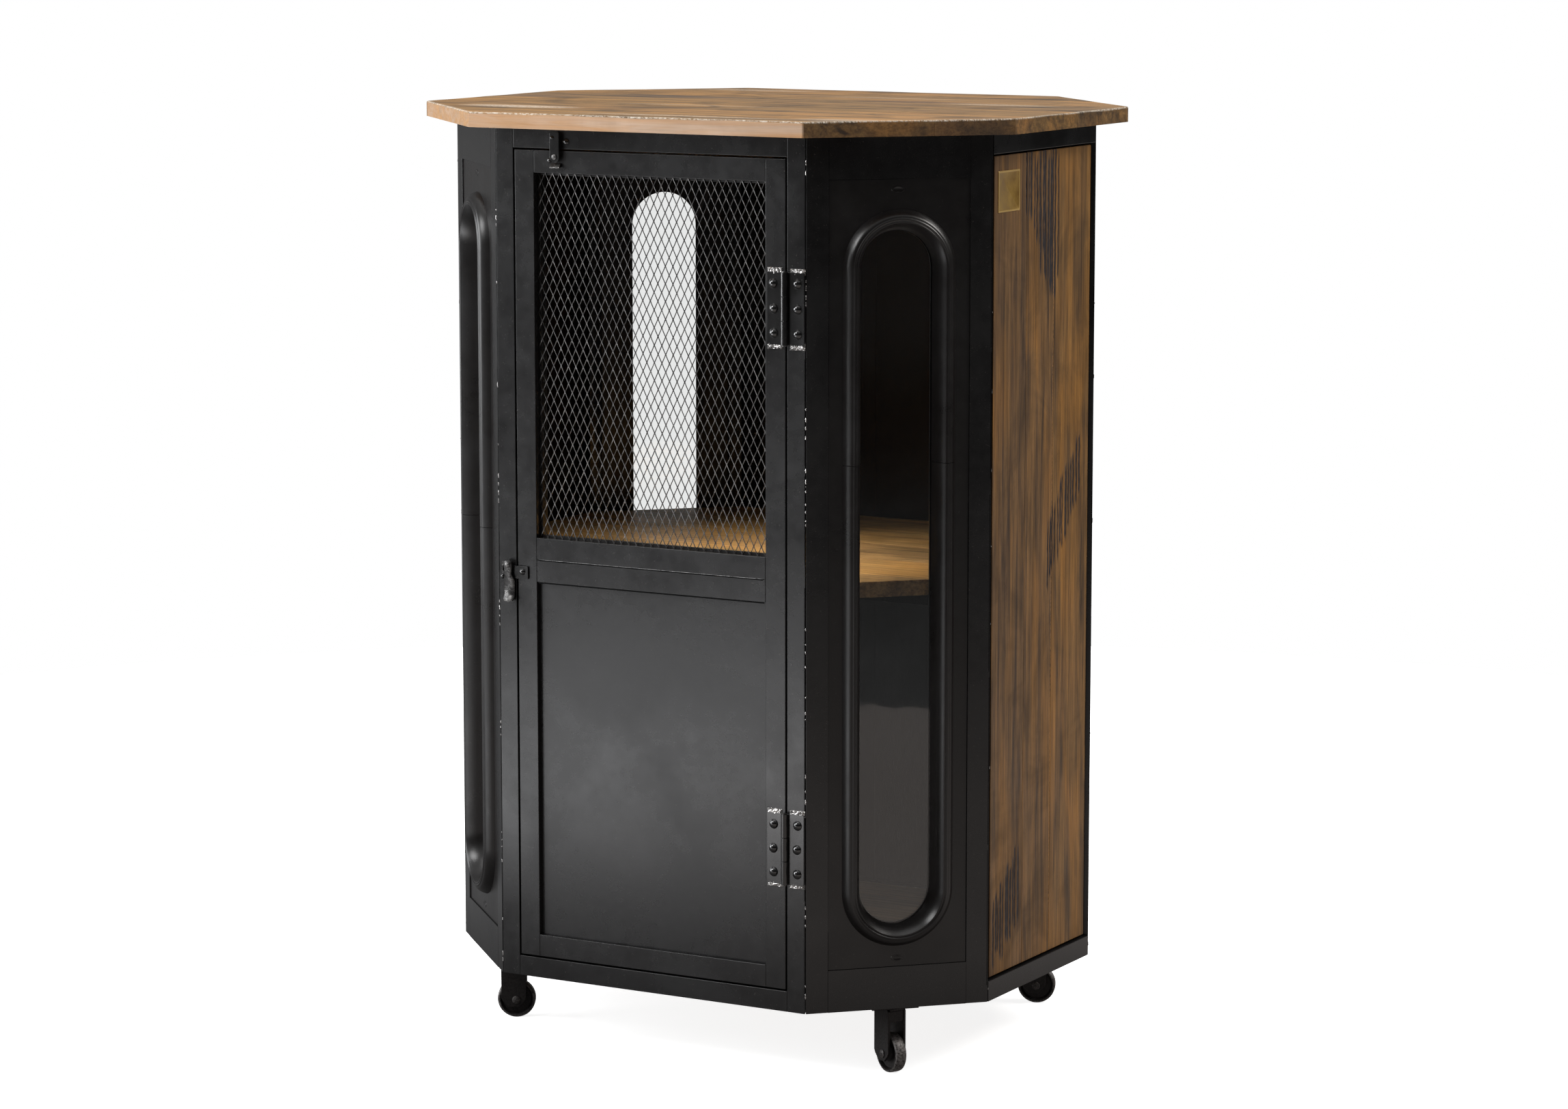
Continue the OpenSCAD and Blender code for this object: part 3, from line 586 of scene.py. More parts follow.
def gouge_depth(across, up, cuts):
    """Depth of the gouges at each grid point, with ragged ends and sides."""
    depth = np.zeros(across.shape)
    for at, low, high, half, deep in cuts:
        sway = 0.5 * MM * np.sin(up * 160 + at * 900)
        side = 1 - ((across - at - sway) / half) ** 2
        ends = np.clip((up - low) / 0.008, 0, 1) * np.clip((high - up) / 0.012, 0, 1)
        pulse = 0.75 + 0.25 * np.sin(up * 420 + at * 3000)
        depth = np.maximum(depth, deep * np.clip(side, 0, 1) * ends * pulse)
    return depth


def plank_panel(name, node, face, planks, cuts, pale, seed):
    """Upright planks of one wood panel, each (right edge, tone), with rounded edges and gouges outside, and painted
    shade on their inner faces.
    """
    rng = random.Random(seed)
    matrix = face_matrix(face)
    low, high = local_box(node, matrix)
    shape = Shape()
    left = low.x
    for right, tone in planks:
        right = min(right, high.x)
        x0 = left + (HALF_GAP if left > low.x else 0)
        x1 = right - (HALF_GAP if right < high.x else 0)
        lines = [at + half * k for at, _, _, half, _ in cuts for k in (-1.15, -0.6, 0, 0.6, 1.15)]
        lines += [at + half * k for at, _, _, half in pale for k in (-1, 0, 1)]
        xs = np.array(spread(x0, x1, 4 * MM, 0.6 * MM, extra=lines))
        zs = np.array(spread(low.z, high.z, 6 * MM, 1.2 * MM))
        x, z = np.meshgrid(xs, zs)
        cut = gouge_depth(x, z, cuts)
        fall = rolled(np.minimum(x - x0, x1 - x), 0.6 * MM) + rolled(np.minimum(z - low.z, high.z - z), 1.2 * MM)
        worn = np.zeros(x.shape)
        for at, bottom, top, half in pale:
            fade = np.clip((z - bottom) / 0.06, 0, 1) * np.clip((top - z) / 0.1, 0, 1)
            worn = np.maximum(worn, np.clip(1.2 - np.abs(x - at) / half, 0, 1) * fade)
        points = np.stack([x, low.y + cut + fall, z], -1)
        # Painted shade in each gouge, darker the deeper it is cut.
        mark = np.clip(cut / (0.45 * MM), 0, 1)
        # The inner faces and the sides in the joints get painted shade.
        grid_solid(
            shape, points, lambda p: (p[0], high.y, p[2]), lambda p: {"inner": 1.0},
            mark=mark, pale=worn, board=rng.uniform(0, 12), tone=tone,
        )
        left = right
    piece(name, shape, M_SIDE, "cabinet", [node], matrix)


def build_side_planks():
    rng = random.Random(11)
    end = BODY_H - 0.0235
    start = 0.0275
    cuts = strokes(
        rng, 13, -0.046, 0.044,
        [(0, 0.905), (0.2, 0.888), (0.45, 0.858), (0.72, 0.810), (0.9, 0.806), (1, 0.835)],
        [(0, end), (1, end)],
    )
    cuts += strokes(rng, 4, -0.010, 0.040, [(0, 0.84), (1, 0.79)], [(0, 0.905), (1, 0.90)])
    cuts += strokes(
        rng, 13, 0.014, 0.103, [(0, 0.452), (0.5, 0.510), (1, 0.560)], [(0, 0.535), (0.5, 0.600), (1, 0.640)]
    )
    cuts += strokes(
        rng, 11, -0.119, -0.050, [(0, start + 0.006), (1, start + 0.05)],
        [(0, 0.112), (0.6, 0.150), (1, 0.182)], jitter=0.012,
    )
    line = [(0.0286, 0.03, 0.97, 1.5 * MM)]
    planks = [(-0.042, 0.2), (0.030, 0.55), (1, 0.85)]
    plank_panel("right_side_planks", "right_wood_panel", RIGHT, planks, cuts, line, 3)
    cuts = strokes(rng, 11, -0.090, -0.010, [(0, 0.60), (1, 0.66)], [(0, 0.69), (1, 0.76)])
    cuts += strokes(rng, 9, 0.040, 0.105, [(0, 0.12), (1, 0.17)], [(0, 0.22), (1, 0.29)])
    planks = [(-0.042, 0.7), (0.030, 0.3), (1, 0.55)]
    plank_panel("left_side_planks", "left_wood_panel", LEFT, planks, cuts, line, 5)
    cuts = strokes(rng, 12, -0.150, -0.070, [(0, 0.72), (1, 0.80)], [(0, 0.84), (1, 0.90)])
    cuts += strokes(rng, 11, 0.060, 0.150, [(0, 0.28), (1, 0.33)], [(0, 0.38), (1, 0.45)])
    planks = [(-0.102, 0.4), (0.006, 0.7), (0.096, 0.25), (1, 0.6)]
    line = [(0.0046, 0.1, 0.9, 1.4 * MM)]
    plank_panel("back_planks", "back_wood_panel", BACK, planks, cuts, line, 7)


def octagon_reach(y, overhang):
    """Half length of the octagon, grown by overhang, along X at a distance y from its middle."""
    span = HALF_W + HALF_D - CHAMFER + overhang * math.sqrt(2)
    return np.minimum(HALF_W + overhang, span - np.abs(y))


# Pale sawn places and dark stains on the top: centre, half sizes and strength
TOP_PALE = [
    (-0.231, -0.195, 0.080, 0.026, 0.85),
    (0.250, 0.100, 0.075, 0.018, 0.40),
    (0.255, -0.272, 0.075, 0.024, 0.45),
    (-0.180, 0.272, 0.100, 0.022, 0.35),
    (0.040, -0.284, 0.150, 0.010, 0.55),
    (-0.060, -0.075, 0.120, 0.010, 0.30),
    (0.060, 0.180, 0.100, 0.012, 0.25),
]
TOP_DARK = [
    (-0.350, 0.020, 0.075, 0.045, 0.40),
    (-0.180, 0.090, 0.110, 0.030, 0.50),
    (0.130, 0.115, 0.090, 0.030, 0.45),
    (0.020, -0.010, 0.140, 0.014, 0.30),
    (-0.090, 0.200, 0.100, 0.022, 0.35),
    (0.220, -0.050, 0.120, 0.020, 0.30),
]
TOP_JOINTS = [-0.214, -0.104, 0.012, 0.122, 0.226]


def patches(x, y, places, soft=1.3):
    """How strongly the elliptical places cover each point."""
    cover = np.zeros(x.shape)
    for px, py, half_x, half_y, strength in places:
        cover = np.maximum(cover, strength * np.clip(soft - ((x - px) / half_x) ** 2 - ((y - py) / half_y) ** 2, 0, 1))
    return cover


def build_top():
    """The top's planks: a worn arris all round, a fine groove at each joint, and front edges pale as bared wood and
    with painted light.
    """
    rng = random.Random(21)
    low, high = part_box("top_slab")
    overhang = high.x - HALF_W
    corner = HALF_D - CHAMFER + overhang * math.tan(math.radians(22.5))
    span = HALF_W + HALF_D - CHAMFER + overhang * math.sqrt(2)

    def skirt(p):
        """Pale bared wood with painted light on the front's edge and on the front-left one, painted shade on the
        front-right one, and every other side a little darker.
        """
        if p[1] < low.y + 1 * MM:
            return {"edge": 1.0}
        if p[1] < -corner - 1 * MM:
            # The front-left edge is pale with painted light, the front-right edge darkened with painted shade.
            return {"edge": 0.7} if p[0] < 0 else {"mark": 0.35}
        # Every other edge and joint face is a little darker.
        return {"mark": 0.12}

    edges = [low.y] + TOP_JOINTS + [high.y]
    tones = [0.62, 0.5, 0.75, 0.4, 0.6, 0.5]
    shape = Shape()
    for front, back, tone in zip(edges, edges[1:], tones):
        near = front + (HALF_GAP if front > low.y else 0)
        far = back - (HALF_GAP if back < high.y else 0)
        ys = np.array(spread(near, far, 5 * MM, 2.2 * MM, extra=(-corner, corner)))
        us = np.array(spread(0, 1, 0.009, 0.003))
        u, y = np.meshgrid(us, ys)
        reach = octagon_reach(y, overhang)
        x = reach * (2 * u - 1)
        slant = (span - np.abs(x) - np.abs(y)) / math.sqrt(2)
        outer = np.minimum(np.minimum(high.x - np.abs(x), high.y - np.abs(y)), slant)
        uneven = 1.3 * MM + 0.4 * MM * np.sin(x * 31 + y * 17) + 0.25 * MM * np.sin(x * 83 - y * 61)
        fall = rolled(outer, uneven)
        for joint in TOP_JOINTS:
            fall = fall + 0.4 * MM * np.clip(1 - np.abs(y - joint) / (1.1 * MM), 0, 1)
        worn = np.maximum(np.clip(1.4 - outer / (1.3 * MM), 0, 1), patches(x, y, TOP_PALE))
        stained = patches(x, y, TOP_DARK, 1.0)
        dents = 0.12 * MM * (np.sin(x * 23 + 3 * np.sin(y * 9)) + np.sin(y * 41 + x * 5))
        points = np.stack([x, y, high.z - fall - np.abs(dents)], -1)
        board = rng.uniform(0, 12)
        grid_solid(shape, points, lambda p: (p[0], p[1], low.z), skirt, pale=worn, mark=stained, board=board, tone=tone)
    piece("top_planks", shape, M_TOP, "cabinet", ["top_slab"])


def build_shelf():
    """The shelf's planks, each with its own soft edges."""
    rng = random.Random(31)
    low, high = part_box("shelf")
    inset = HALF_W - high.x
    shape = Shape()
    edges = [low.y, -0.158, -0.052, 0.058, 0.160, high.y]
    for front, back in zip(edges, edges[1:]):
        ys = np.array(spread(front + HALF_GAP, back - HALF_GAP, 12 * MM, 1 * MM))
        us = np.array(spread(0, 1, 0.03, 0.002))
        u, y = np.meshgrid(us, ys)
        x = octagon_reach(y, -inset) * (2 * u - 1)
        fall = rolled(np.minimum(y - ys[0], ys[-1] - y), 1 * MM)
        points = np.stack([x, y, high.z - fall], -1)
        grid_solid(shape, points, lambda p: (p[0], p[1], low.z), board=rng.uniform(0, 12), tone=rng.uniform(0.4, 0.8))
    piece("shelf_planks", shape, M_SHELF, "cabinet", ["shelf"])
    dress("floor_board", M_SHELF, 0.6 * MM)


# ---- Steel frame ----

# How far the painted shade lines beside welds and in gaps stand out of a face
PAINTED_SHADE_OUT = 0.12 * MM


def build_frame():
    for node in ("front_posts", "front_rails", "back_rails", "side_rails", "corner_stiles"):
        dress(node, M_FRAME, 0.7 * MM)
    for node in ("panel_battens", "shelf_bearers", "floor_bearers"):
        dress(node, M_FRAME, 0.6 * MM)
    dress("corner_ring_rails", M_FRAME)
    dress("corner_inner_rails", M_FRAME)
    for node in ("glass_retainers", "mesh_retainers"):
        dress(node, M_TRIM, 0.3 * MM)
    for node in ("door_stiles", "door_rails"):
        dress(node, M_DOOR, 0.7 * MM)


def seam_beads(shape, rng, matrix, x, spans, radius):
    """Short weld beads up a seam, given as (bottom, top) spans."""
    for bottom, top in spans:
        shape.bead(matrix @ Vector((x, 0.2 * MM, bottom)), matrix @ Vector((x, 0.2 * MM, top)), radius, rng)


def build_frame_welds():
    """Where two faces of the frame meet: a painted shade line beside the seam and small bright weld specks on it."""
    rng = random.Random(41)
    shape, shade_lines = Shape(), Shape()
    end = BODY_H - 0.03
    halves = {FRONT: FRONT_HALF, BACK: FRONT_HALF, RIGHT: HALF_D - CHAMFER, LEFT: HALF_D - CHAMFER}
    for face in range(8):
        half = halves.get(face, CHAMFER / math.sqrt(2))
        beside_door = face in (FRONT, FRONT_LEFT)
        matrix = face_matrix(face)
        spans = []
        z = rng.uniform(0.01, 0.03)
        while z < BODY_H - 0.04:
            for _ in range(rng.randint(1, 4) if beside_door else 1):
                length = rng.uniform(0.0015, 0.006)
                spans.append((z, min(z + length, end)))
                z += length + rng.uniform(0.002, 0.008)
            z += rng.choice([0.01, 0.03, 0.06, 0.11] if beside_door else [0.08, 0.16, 0.25])
        seam_beads(shape, rng, matrix, half, spans, (0.75 if beside_door else 0.35) * MM)
        # Painted shade: broken black lines just inside each seam
        z = 0.02
        while z < BODY_H - 0.06:
            top = min(z + rng.uniform(0.05, 0.22), end)
            x = half - rng.uniform(1.3, 1.8) * MM
            shade_lines.block((x - 0.3 * MM, -PAINTED_SHADE_OUT, z), (x + 0.3 * MM, 0.2 * MM, top), matrix)
            z = top + rng.uniform(0.004, 0.03)
    piece("frame_seam_welds", shape, M_WELD, "cabinet")
    piece("frame_seam_painted_shade", shade_lines, M_PAINTED_SHADE, "cabinet")


def build_panel_filler():
    """Black filler deep in the joints round the wood panels, so that no daylight shows through them; its black is
    painted shade.
    """
    shape = Shape()
    lap = 0.3 * MM
    reach = 2.6 * MM
    for face, node in ((RIGHT, "right_wood_panel"), (BACK, "back_wood_panel"), (LEFT, "left_wood_panel")):
        matrix = face_matrix(face)
        low, high = local_box(node, matrix)
        front, back = high.y - 2.5 * MM, high.y - 0.5 * MM
        for x0, x1 in ((low.x - reach, low.x + lap), (high.x - lap, high.x + reach)):
            shape.block((x0, front, low.z - reach), (x1, back, high.z + reach), matrix)
        for z0, z1 in ((low.z - reach, low.z + lap), (high.z - lap, high.z + reach)):
            shape.block((low.x + lap, front, z0), (high.x - lap, back, z1), matrix)
    piece("panel_joint_filler", shape, M_PAINTED_SHADE, "cabinet")


# ---- Corner windows ----

MOULDING_SEAMS = {"front_right": 0.630, "back_right": 0.600, "back_left": 0.560, "front_left": 0.526}


def moulding_section(outer, crest, depth):
    """The moulding's profile as (distance from the oval's middle line, height over the panel)."""
    rise = crest - 1.2 * MM
    flank = [(outer - 9 * MM * t, rise * math.sin(math.radians(90) * t) ** 0.8) for t in np.linspace(0, 1, 9)]
    first = arc(outer - 10.6 * MM, crest - 1.5 * MM, 1.3 * MM, 35, 150, 5)
    second = arc(outer - 13.6 * MM, crest - 1.7 * MM, 1.3 * MM, 35, 150, 5)
    inner = [(outer - 15.4 * MM, crest - 2.4 * MM), (outer - 18.0 * MM, crest - 4.4 * MM)]
    inner += [(outer - 21.0 * MM, -depth * 0.3), (outer - 24 * MM, -depth)]
    back = [(outer - 21.6 * MM, -depth), (outer - 18.0 * MM, -2 * MM), (outer - 14.8 * MM, crest - 7 * MM)]
    back += [(outer - 10 * MM, crest - 7.4 * MM), (outer - 6 * MM, crest - 8 * MM), (outer - 2.5 * MM, 0)]
    return flank + first + second + inner + back


def oval_path(half_straight, middle, seam, upper):
    """Centre points and outward directions over one half of an upright oval, from seam to seam."""
    steps, turns = 14, 36
    side = 1 if upper else -1
    end = middle + side * half_straight
    rises = [seam + (end - seam) * i / steps for i in range(steps)]
    path = [((0, z), (1, 0)) for z in rises]
    path += [((0, end), (math.cos(a), side * math.sin(a))) for a in (math.pi * i / turns for i in range(turns + 1))]
    path += [((0, z), (-1, 0)) for z in reversed(rises)]
    return path


def build_moulding(corner):
    matrix = face_matrix(CORNERS[corner])
    node = corner + "_moulding"
    panel = local_box(corner + "_corner_panel", matrix)
    low, high = local_box(node, matrix)
    outer = high.x
    section = moulding_section(outer, panel[0].y - low.y, high.y - panel[0].y)
    middle = (low.z + high.z) / 2
    half_straight = (high.z - low.z) / 2 - outer
    seam = MOULDING_SEAMS[corner]
    shape = Shape()
    for upper in (True, False):
        start = seam + (0.25 * MM if upper else -0.25 * MM)
        slip = 0.3 * MM if upper else 0
        rings = []
        for (cx, cz), (nx, nz) in oval_path(half_straight, middle, start, upper):
            rings.append([(cx + (r - slip * 0.5) * nx, panel[0].y - h, cz + r * nz) for r, h in section])
        shape.loft(rings)
    piece(corner + "_oval_moulding", shape, M_TRIM, "cabinet", [node], matrix, crease=50)


def build_window_details(corner):
    """Ground plug welds in the corner panel, in its middle above and below the moulding."""
    matrix = face_matrix(CORNERS[corner])
    low, high = local_box(corner + "_corner_panel", matrix)
    rng = random.Random(50 + CORNERS[corner])
    shape = Shape()
    for z in (high.z - 12 * MM, low.z + 10 * MM):
        place = outward(rng.uniform(-4, 4) * MM, low.y + 0.15 * MM, z)
        wide = place @ Matrix.Diagonal((1.5, 0.75, 1, 1))
        rim = [(5.2 * MM, 0), (4.9 * MM, 0.45 * MM), (4.0 * MM, 0.55 * MM), (3.2 * MM, 0.25 * MM), (POLE, 0.2 * MM)]
        shape.turned([(5.2 * MM, -0.3 * MM)] + rim, wide, 20)
    piece(corner + "_plug_welds", shape, M_TRIM, "cabinet", matrix=matrix)
    dress(corner + "_corner_panel", M_TRIM)
    dress(corner + "_glass", M_GLASS)

    # Painted shade: thin black strips along the panel's joints with the frame.
    gaps = Shape()
    slot_z = (low.z + local_box("corner_ring_rails", matrix)[0].z) / 2 - 1 * MM
    for x0, z0, x1, z1 in (
        (low.x, low.z, high.x, low.z),
        (high.x, low.z, high.x, low.z + rng.uniform(0.55, 0.8) * (high.z - low.z)),
        (low.x, low.z, low.x, low.z + rng.uniform(0.02, 0.05)),
        (low.x + 18 * MM, slot_z, high.x, slot_z),
        (low.x, high.z, low.x + rng.uniform(0.4, 0.9) * (high.x - low.x), high.z),
        (low.x, high.z - rng.uniform(0.2, 0.3), low.x, high.z),
    ):
        half = rng.uniform(0.35, 0.55) * MM
        gaps.block((x0 - half, low.y - PAINTED_SHADE_OUT, z0 - half), (x1 + half, low.y + 0.3 * MM, z1 + half))
    piece(corner + "_panel_gap_painted_shade", gaps, M_PAINTED_SHADE, "cabinet", matrix=matrix)


# ---- Door ----


def build_mesh():
    """Expanded metal: zigzag strands that touch at their bonds and turn between them."""
    low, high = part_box("door_mesh")
    pitch_x, pitch_z = 10 * MM, 20 * MM
    count = round((high.x - low.x) / (pitch_x / 2))
    step = (high.x - low.x) / count
    halves = round((high.z - low.z) / (pitch_z / 2))
    rise = (high.z - low.z) / halves
    middle_y = (low.y + high.y) / 2
    half_wide, half_thin = 0.52 * MM, 0.36 * MM
    shape = Shape()
    per_half = 6
    for strand in range(count):
        rings = []
        for i in range(halves * per_half + 1):
            t = i / per_half
            turn = math.pi * (t + strand % 2)
            lean = math.sin(turn)
            zigzag = 4 * abs(((t + strand % 2) / 2) % 1 - 0.5) - 1
            bend = 0.15 * math.cos(turn) + 0.85 * zigzag
            x = low.x + (strand + 0.5) * step - 0.5 * bend * (step - 0.3 * MM)
            twist = math.radians(14 * lean)
            wide = Vector((math.cos(twist), math.sin(twist), 0)) * half_wide
            thin = Vector((-math.sin(twist), math.cos(twist), 0)) * half_thin
            middle = Vector((x, middle_y + 0.25 * MM * lean, low.z + t * rise))
            corners = [wide + thin, thin - wide, -wide - thin, wide - thin]
            rings.append([middle + c for c in corners])
        shape.loft(rings)
    piece("door_expanded_mesh", shape, M_MESH, "door", ["door_mesh"], crease=60)


def build_door_sheet():
    """The lower sheet, a little buckled as thin welded sheet is."""
    low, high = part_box("door_sheet")
    columns, rows = 40, 54
    x, z = np.meshgrid(np.linspace(low.x, high.x, columns), np.linspace(low.z, high.z, rows))
    u, v = (x - low.x) / (high.x - low.x), (z - low.z) / (high.z - low.z)
    pinned = np.sin(math.pi * u) * np.sin(math.pi * v)
    wave = 0.5 * np.sin(5.1 * u + 2.3 * v) + 0.3 * np.sin(9.7 * v - 3.1 * u + 1.2)
    points = np.stack([x, low.y + 0.25 * MM + 0.45 * MM * pinned * wave, z], -1)
    shape = Shape()
    grid_solid(shape, points, lambda p: (p[0], high.y, p[2]))
    piece("door_lower_sheet", shape, M_SHEET, "door", ["door_sheet"])


def build_door_welds():
    """The seam along the door's middle rail: a painted shade line under a thin ridge of filed weld, and a painted
    shadow line where the rail meets the lower sheet.
    """
    rng = random.Random(61)
    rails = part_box("door_rails")
    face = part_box("door_stiles")[0].y
    z = (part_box("door_mesh")[0].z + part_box("door_sheet")[1].z) / 2
    left, right = rails[0].x + 4 * MM, rails[1].x - 3 * MM
    ridge, shade_lines = Shape(), Shape()
    x = left
    while x < right:
        end = min(x + rng.uniform(20, 45) * MM, right)
        ridge.bead((x, face + 0.3 * MM, z + 0.5 * MM), (end, face + 0.3 * MM, z + 0.5 * MM), 0.75 * MM, rng)
        x = end
    shade_lines.block((left, face - PAINTED_SHADE_OUT, z - 0.9 * MM), (right, face + 0.3 * MM, z - 0.2 * MM))
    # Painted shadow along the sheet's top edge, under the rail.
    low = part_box("door_sheet")[1].z
    shade_lines.block((left - 2 * MM, face + 0.4 * MM, low - 1.4 * MM), (right + 1 * MM, face + 1.4 * MM, low + 0.2 * MM))
    piece("middle_rail_ridge", ridge, M_HINGE, "door")
    piece("middle_rail_painted_shade", shade_lines, M_PAINTED_SHADE, "door")


# ---- Hinges ----

HINGE_TALL = 82 * MM
LEAF_THICK = 2 * MM
RIVET_STEP = 28 * MM
LEAVES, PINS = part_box("frame_hinge_leaves"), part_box("hinge_pins")
HINGE_X = (PINS[0].x + PINS[1].x) / 2
HINGE_Y = (PINS[0].y + PINS[1].y) / 2
LEAF_WIDTH = LEAVES[1].x - HINGE_X
HINGE_MIDS = [LEAVES[0].z + HINGE_TALL / 2, LEAVES[1].z - HINGE_TALL / 2]


def leaf_shape(side, spans):
    """Leaves of both hinges to one side of the pin, each with its curled knuckles."""
    shape = Shape()
    x, y, tall = HINGE_X, HINGE_Y, HINGE_TALL
    near, far = sorted((x + side * 4.6 * MM, x + side * LEAF_WIDTH))
    face, back = FRONT_Y, FRONT_Y - LEAF_THICK
    for middle in HINGE_MIDS:
        outline = rounded(near, middle - tall / 2, far, middle + tall / 2, 1.4 * MM)
        shape.prism(outline, back, face, "y")
        for low, high in spans:
            curl = arc(0, 0, 4.0 * MM, -52, 262, 22) + arc(0, 0, 2.1 * MM, 262, -52, 22)
            rings = [[(x + side * cx, y - cy, z) for cx, cy in curl] for z in (middle + low, middle + high)]
            shape.loft(rings)
            web = [
                (x + side * 2.2 * MM, back), (x + side * 5.2 * MM, back),
                (x + side * 5.2 * MM, face - 0.1 * MM), (x + side * 1.4 * MM, face - 0.6 * MM),
            ]
            shape.prism(web, middle + low, middle + high, "z")
    return shape


def build_hinges():
    """Leaves with their knuckles, the door's between the frame's, and the pins."""
    half, sixth, play = HINGE_TALL / 2, HINGE_TALL / 6, 0.25 * MM
    outer = leaf_shape(1, [(-half, -sixth - play), (sixth + play, half)])
    inner = leaf_shape(-1, [(-sixth + play, sixth - play)])
    piece("frame_leaves", outer, M_HINGE, "cabinet", ["frame_hinge_leaves"], bevel=0.3 * MM)
    piece("door_leaves", inner, M_HINGE, "door", ["door_hinge_leaves"], bevel=0.3 * MM)
    pins = Shape()
    for middle in HINGE_MIDS:
        end = half + 1.4 * MM
        profile = [(POLE, -end), (1.6 * MM, -end), (2.8 * MM, -end + 0.5 * MM), (2.8 * MM, -half), (1.95 * MM, -half)]
        pins.turned(mirrored(profile), Matrix.Translation((HINGE_X, HINGE_Y, middle)), 20)
    piece("hinge_pin_rods", pins, M_BRIGHT, "cabinet", ["hinge_pins"])


def build_rivets():
    """Domed heads: three up each leaf, one on the latch strap, and the small balls beside the latches."""
    rng = random.Random(71)
    for name, node, body, side in (
        ("frame_rivet_heads", "frame_rivets", "cabinet", 1),
        ("door_rivet_heads", "door_rivets", "door", -1),
    ):
        shape = Shape()
        for middle in HINGE_MIDS:
            for step in (-RIVET_STEP, 0, RIVET_STEP):
                x = HINGE_X + side * (15.5 + rng.uniform(-0.5, 0.5)) * MM
                z = middle + step + rng.uniform(-0.5, 0.5) * MM
                shape.turned(dome(5.7 * MM, 3.8 * MM), outward(x, FRONT_Y - LEAF_THICK, z), 24)
        if side > 0:
            for x, z, radius, rise in ((-0.1086, 0.9845, 4, 3), (-0.2003, 0.4756, 3, 2.2)):
                shape.turned(dome(radius * MM, rise * MM), outward(x, FRONT_Y, BASE_Z + z), 20)
        else:
            shape.turned(dome(4 * MM, 2.9 * MM), outward(-0.1715, FRONT_Y - 2.4 * MM, BASE_Z + 0.483), 20)
            shape.turned(dome(3 * MM, 2.2 * MM), outward(-0.1316, FRONT_Y, BASE_Z + 0.9625), 20)
        piece(name, shape, M_RIVET, body, [node], crease=60)


def weld_crust(shape, rng, left, right, low, high):
    """A ragged lumpy patch of weld metal on the front face."""
    columns, rows, count = 26, 18, 60
    face, rise = FRONT_Y, 2.6 * MM
    x, z = np.meshgrid(np.linspace(left, right, columns), np.linspace(low, high, rows))
    lumps = np.zeros(x.shape)
    for _ in range(count):
        at, up = rng.uniform(left, right), rng.uniform(low, high)
        size, height = rng.uniform(0.5, 1.5) * MM, rng.uniform(0.3, 1)
        lumps = np.maximum(lumps, height * np.exp(-((x - at) ** 2 + (z - up) ** 2) / size**2))
    waves = [rng.uniform(0, 6) for _ in range(3)]
    ragged = 0.7 * MM * (1 + np.sin(x * 2400 + waves[0]) * np.sin(x * 1100 + waves[1]) + np.sin(z * 3100 + waves[2]))
    rim = np.minimum(np.minimum(x - left, right - x), np.minimum(z - low, high - z)) - ragged
    cover = np.clip(rim / (0.8 * MM) + 0.3, 0, 1)
    points = np.stack([x, face + 0.4 * MM - cover * (0.4 * MM + rise * (0.3 + 0.7 * lumps)), z], -1)
    grid_solid(shape, points, lambda p: (p[0], face + 1 * MM, p[2]))


def build_hinge_welds():
    """Rough bright crusts of weld over the top and bottom end of each leaf."""
    for name, body, side in (("frame_hinge_welds", "cabinet", 1), ("door_hinge_welds", "door", -1)):
        rng = random.Random(80 + side)
        shape = Shape()
        for middle in HINGE_MIDS:
            for end in (-1, 1):
                z = middle + end * (HINGE_TALL / 2 + rng.uniform(0.6, 1.4) * MM)
                near, far = HINGE_X + side * 4.4 * MM, HINGE_X + side * (LEAF_WIDTH + 0.4 * MM)
                tall = rng.uniform(3.2, 4.4) * MM
                weld_crust(shape, rng, min(near, far), max(near, far), z - tall, z + tall)
        piece(name, shape, M_WELD, body, crease=70)


# ---- Latches ----

LATCH_THICK = 2.1 * MM


